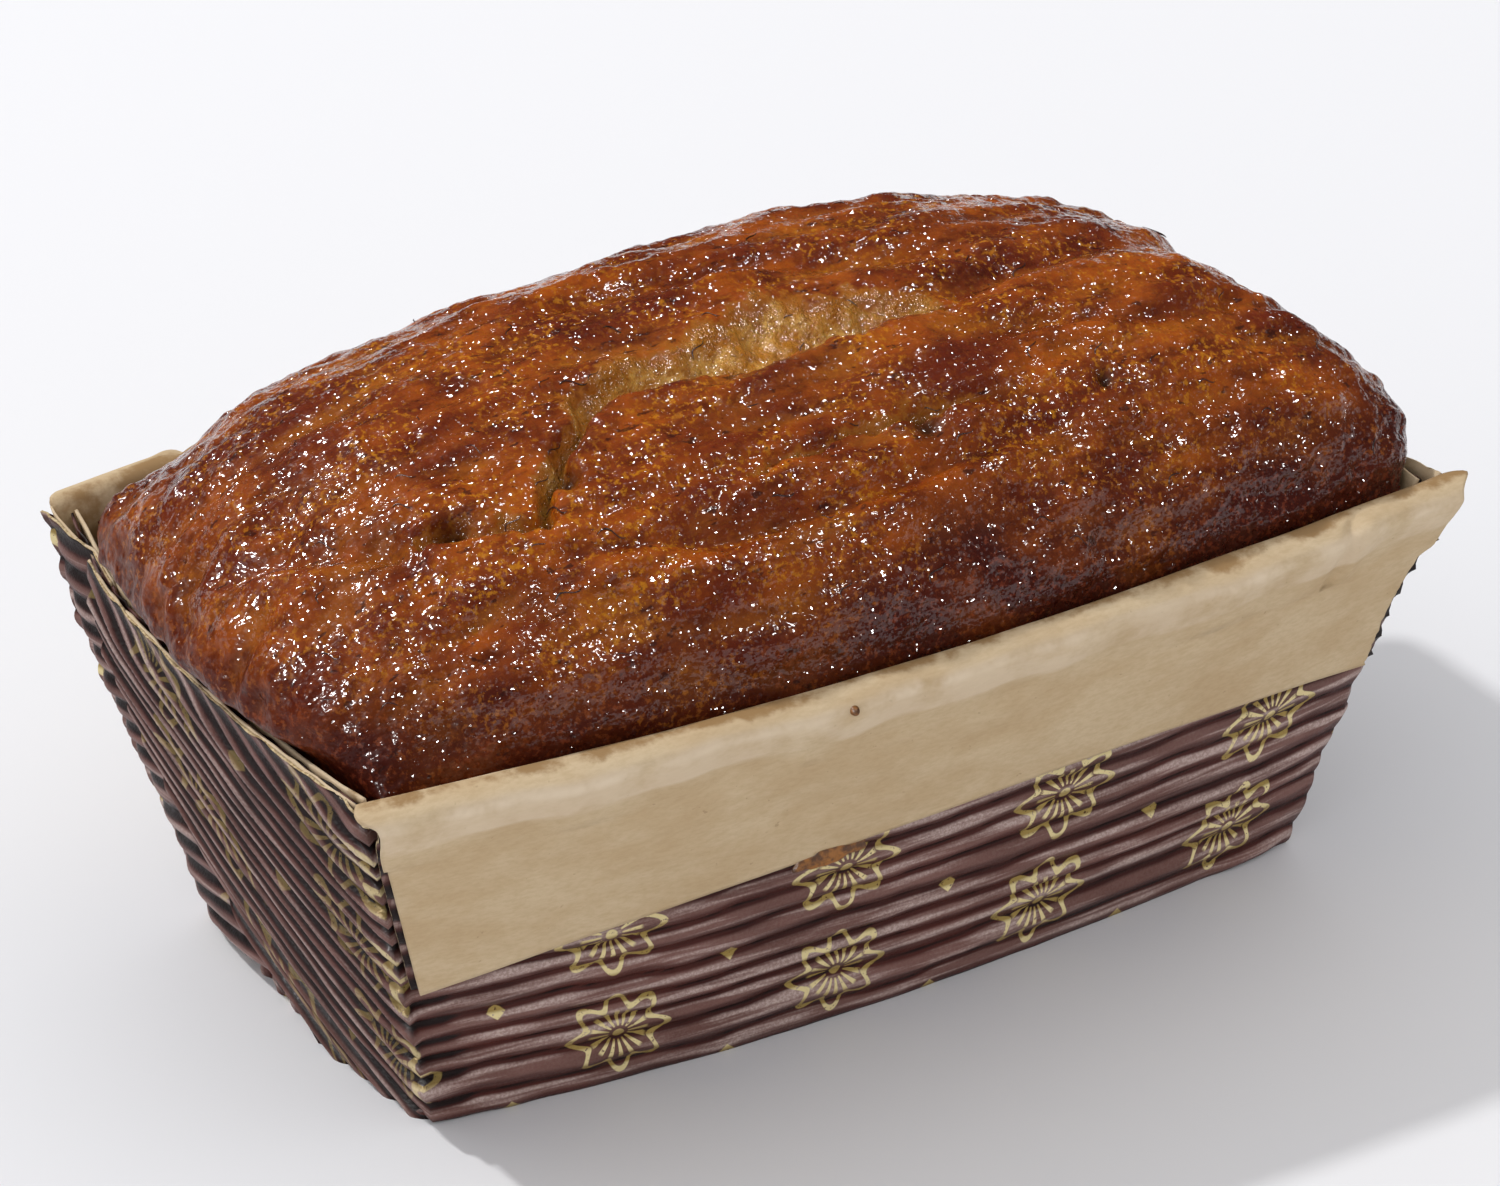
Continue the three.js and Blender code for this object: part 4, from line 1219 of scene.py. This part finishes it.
def make_spill(name, w, z, size, lean, material, seed):
    """A lumpy dab of baked batter on the near cuff's outer face. lean tilts it along the cuff's edge."""
    turn, rise = np.meshgrid(np.linspace(0, 2 * math.pi, 41), np.linspace(-math.pi / 2, math.pi / 2, 17))
    ball = stack(np.cos(turn) * np.cos(rise), np.sin(rise), np.sin(turn) * np.cos(rise))
    ball = ball * size * (1 + 0.4 * lumps(ball * size, 1.3, seed) * np.cos(rise))[..., None]
    ball[..., 2] += lean * ball[..., 0]
    points = wall_point(np.array(w), np.array(z)) - (0, CUFF_OUT, 0) + ball
    piece = new_piece(name, points, grid_faces(*turn.shape)[:, ::-1], material)
    piece.modifiers.new("closed", "WELD").merge_threshold = 0.001 * MM
    return belongs(finished(piece), "crust")


# ---- The object ----

crust = glazed_crust()
kraft = kraft_paper()
ply = printed_ply()
edge = raw_edge()
flutes = flute_tree(ply)

loaf = belongs(make_loaf(crust), "crust", "loaf")
make_threads(loaf, banana_thread())
make_wall("fluted_wall_near", ply, edge, flutes, 51)
make_wall("fluted_wall_far", ply, edge, flutes, 61, half_turn=True)
make_end_panel("fluted_end_left", ply, flutes, 71)
make_end_panel("fluted_end_right", ply, flutes, 81, half_turn=True)
make_bottom(ply, edge, flutes)
make_cuff_ply("cuff_ply_near", NEAR_CUFF, 21, ply, edge, flutes)
make_cuff_ply("cuff_ply_far", FAR_CUFF, 31, ply, edge, flutes, half_turn=True)
make_liner(kraft)
batter = baked_batter()
make_spill("batter_spill", SPILL_PLACE, 28.1, np.array([4.3, 0.35, 1.1]), 0.07, batter, 3)
make_spill("batter_crumb", -0.19, 48.2, np.array([0.5, 0.9, 0.5]), 0.0, batter, 4)
make_wing_lining("kraft_wings_near", kraft, 45)
make_wing_lining("kraft_wings_far", kraft, 47, half_turn=True)
make_end_liner("kraft_end_left", kraft, 91)
make_end_liner("kraft_end_right", kraft, 95, half_turn=True)


# ---- Floor, light and camera ----

LIGHT_DISTANCE = 3.0
# Each light's name, azimuth and elevation in degrees, size in metres and watts.
KEY = ("key", 38, 50, 0.16, 43)
SOFTBOXES = [
    ("left_softbox", 113, 35, 0.5, 115),
    ("back_softbox", 34, 54, 0.4, 26),
    ("front_softbox", 215, 62, 0.4, 22),
]
# What the camera looks at, where it stands in degrees and mm, and its lens on a 36 mm frame.
TARGET = (-0.277, 0, 36.64)
CAMERA_AZIMUTH = 180 - 29.272
CAMERA_ELEVATION = 32.241
CAMERA_DISTANCE = 709.1
LENS = 160


def make_floor():
    material, tree, shader, _ = new_material("matt_pale_tabletop")
    fill(tree, shader, {"Base Color": "#e4e4e6", "Roughness": 0.8, "Specular IOR Level": 0.05})
    corners = [(-2000, -2000, 0), (2000, -2000, 0), (2000, 2000, 0), (-2000, 2000, 0)]
    floor = new_piece("floor", corners, [[0, 1, 2, 3]], material)
    floor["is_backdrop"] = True


def direction(azimuth, elevation):
    """A unit vector from the object. Azimuth turns from +Y towards -X, in degrees."""
    a, e = math.radians(azimuth), math.radians(elevation)
    return Vector((-math.sin(a) * math.cos(e), math.cos(a) * math.cos(e), math.sin(e)))


def add_light(name, azimuth, elevation, size, watts):
    """A round area light that faces the object. size is in metres."""
    data = bpy.data.lights.new(name, "AREA")
    data.shape = "DISK"
    data.size = size
    data.energy = watts
    light = new_object(name, data)
    away = direction(azimuth, elevation)
    light.location = away * LIGHT_DISTANCE
    light.rotation_euler = away.to_track_quat("Z", "Y").to_euler()
    return light


def light_room():
    """A hard key from behind on the left, and a pale room that fills the shadows but hardly shows in the
    glaze, as where a black cloth hangs behind the camera."""
    world = bpy.data.worlds.new("studio")
    world.use_nodes = True
    tree = world.node_tree
    mirrored = add(tree, "ShaderNodeLightPath", output="Is Glossy Ray")
    strength = add(tree, MATH, (mirrored, -0.85, 0.9), **TIMES_PLUS)
    fill(tree, tree.nodes["Background"], {"Color": "#f6f6f8", "Strength": strength})
    bpy.context.scene.world = world
    add_light(*KEY)
    for softbox in SOFTBOXES:
        add_light(*softbox).visible_diffuse = False


def add_camera():
    data = bpy.data.cameras.new("camera")
    data.lens = LENS
    data.sensor_width = 36
    data.clip_end = 20
    camera = new_object("camera", data)
    away = direction(CAMERA_AZIMUTH, CAMERA_ELEVATION)
    camera.location = (Vector(TARGET) + away * CAMERA_DISTANCE) * MM
    camera.rotation_euler = away.to_track_quat("Z", "Y").to_euler()
    bpy.context.scene.camera = camera


make_floor()
light_room()
add_camera()
bpy.context.scene.view_settings.view_transform = "Standard"

bpy.context.view_layer.update()
visual_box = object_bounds()
sizes = {name: [list(map(float, corner)) for corner in box] for name, box in
         (("cad", cad_box), ("visual", visual_box))}
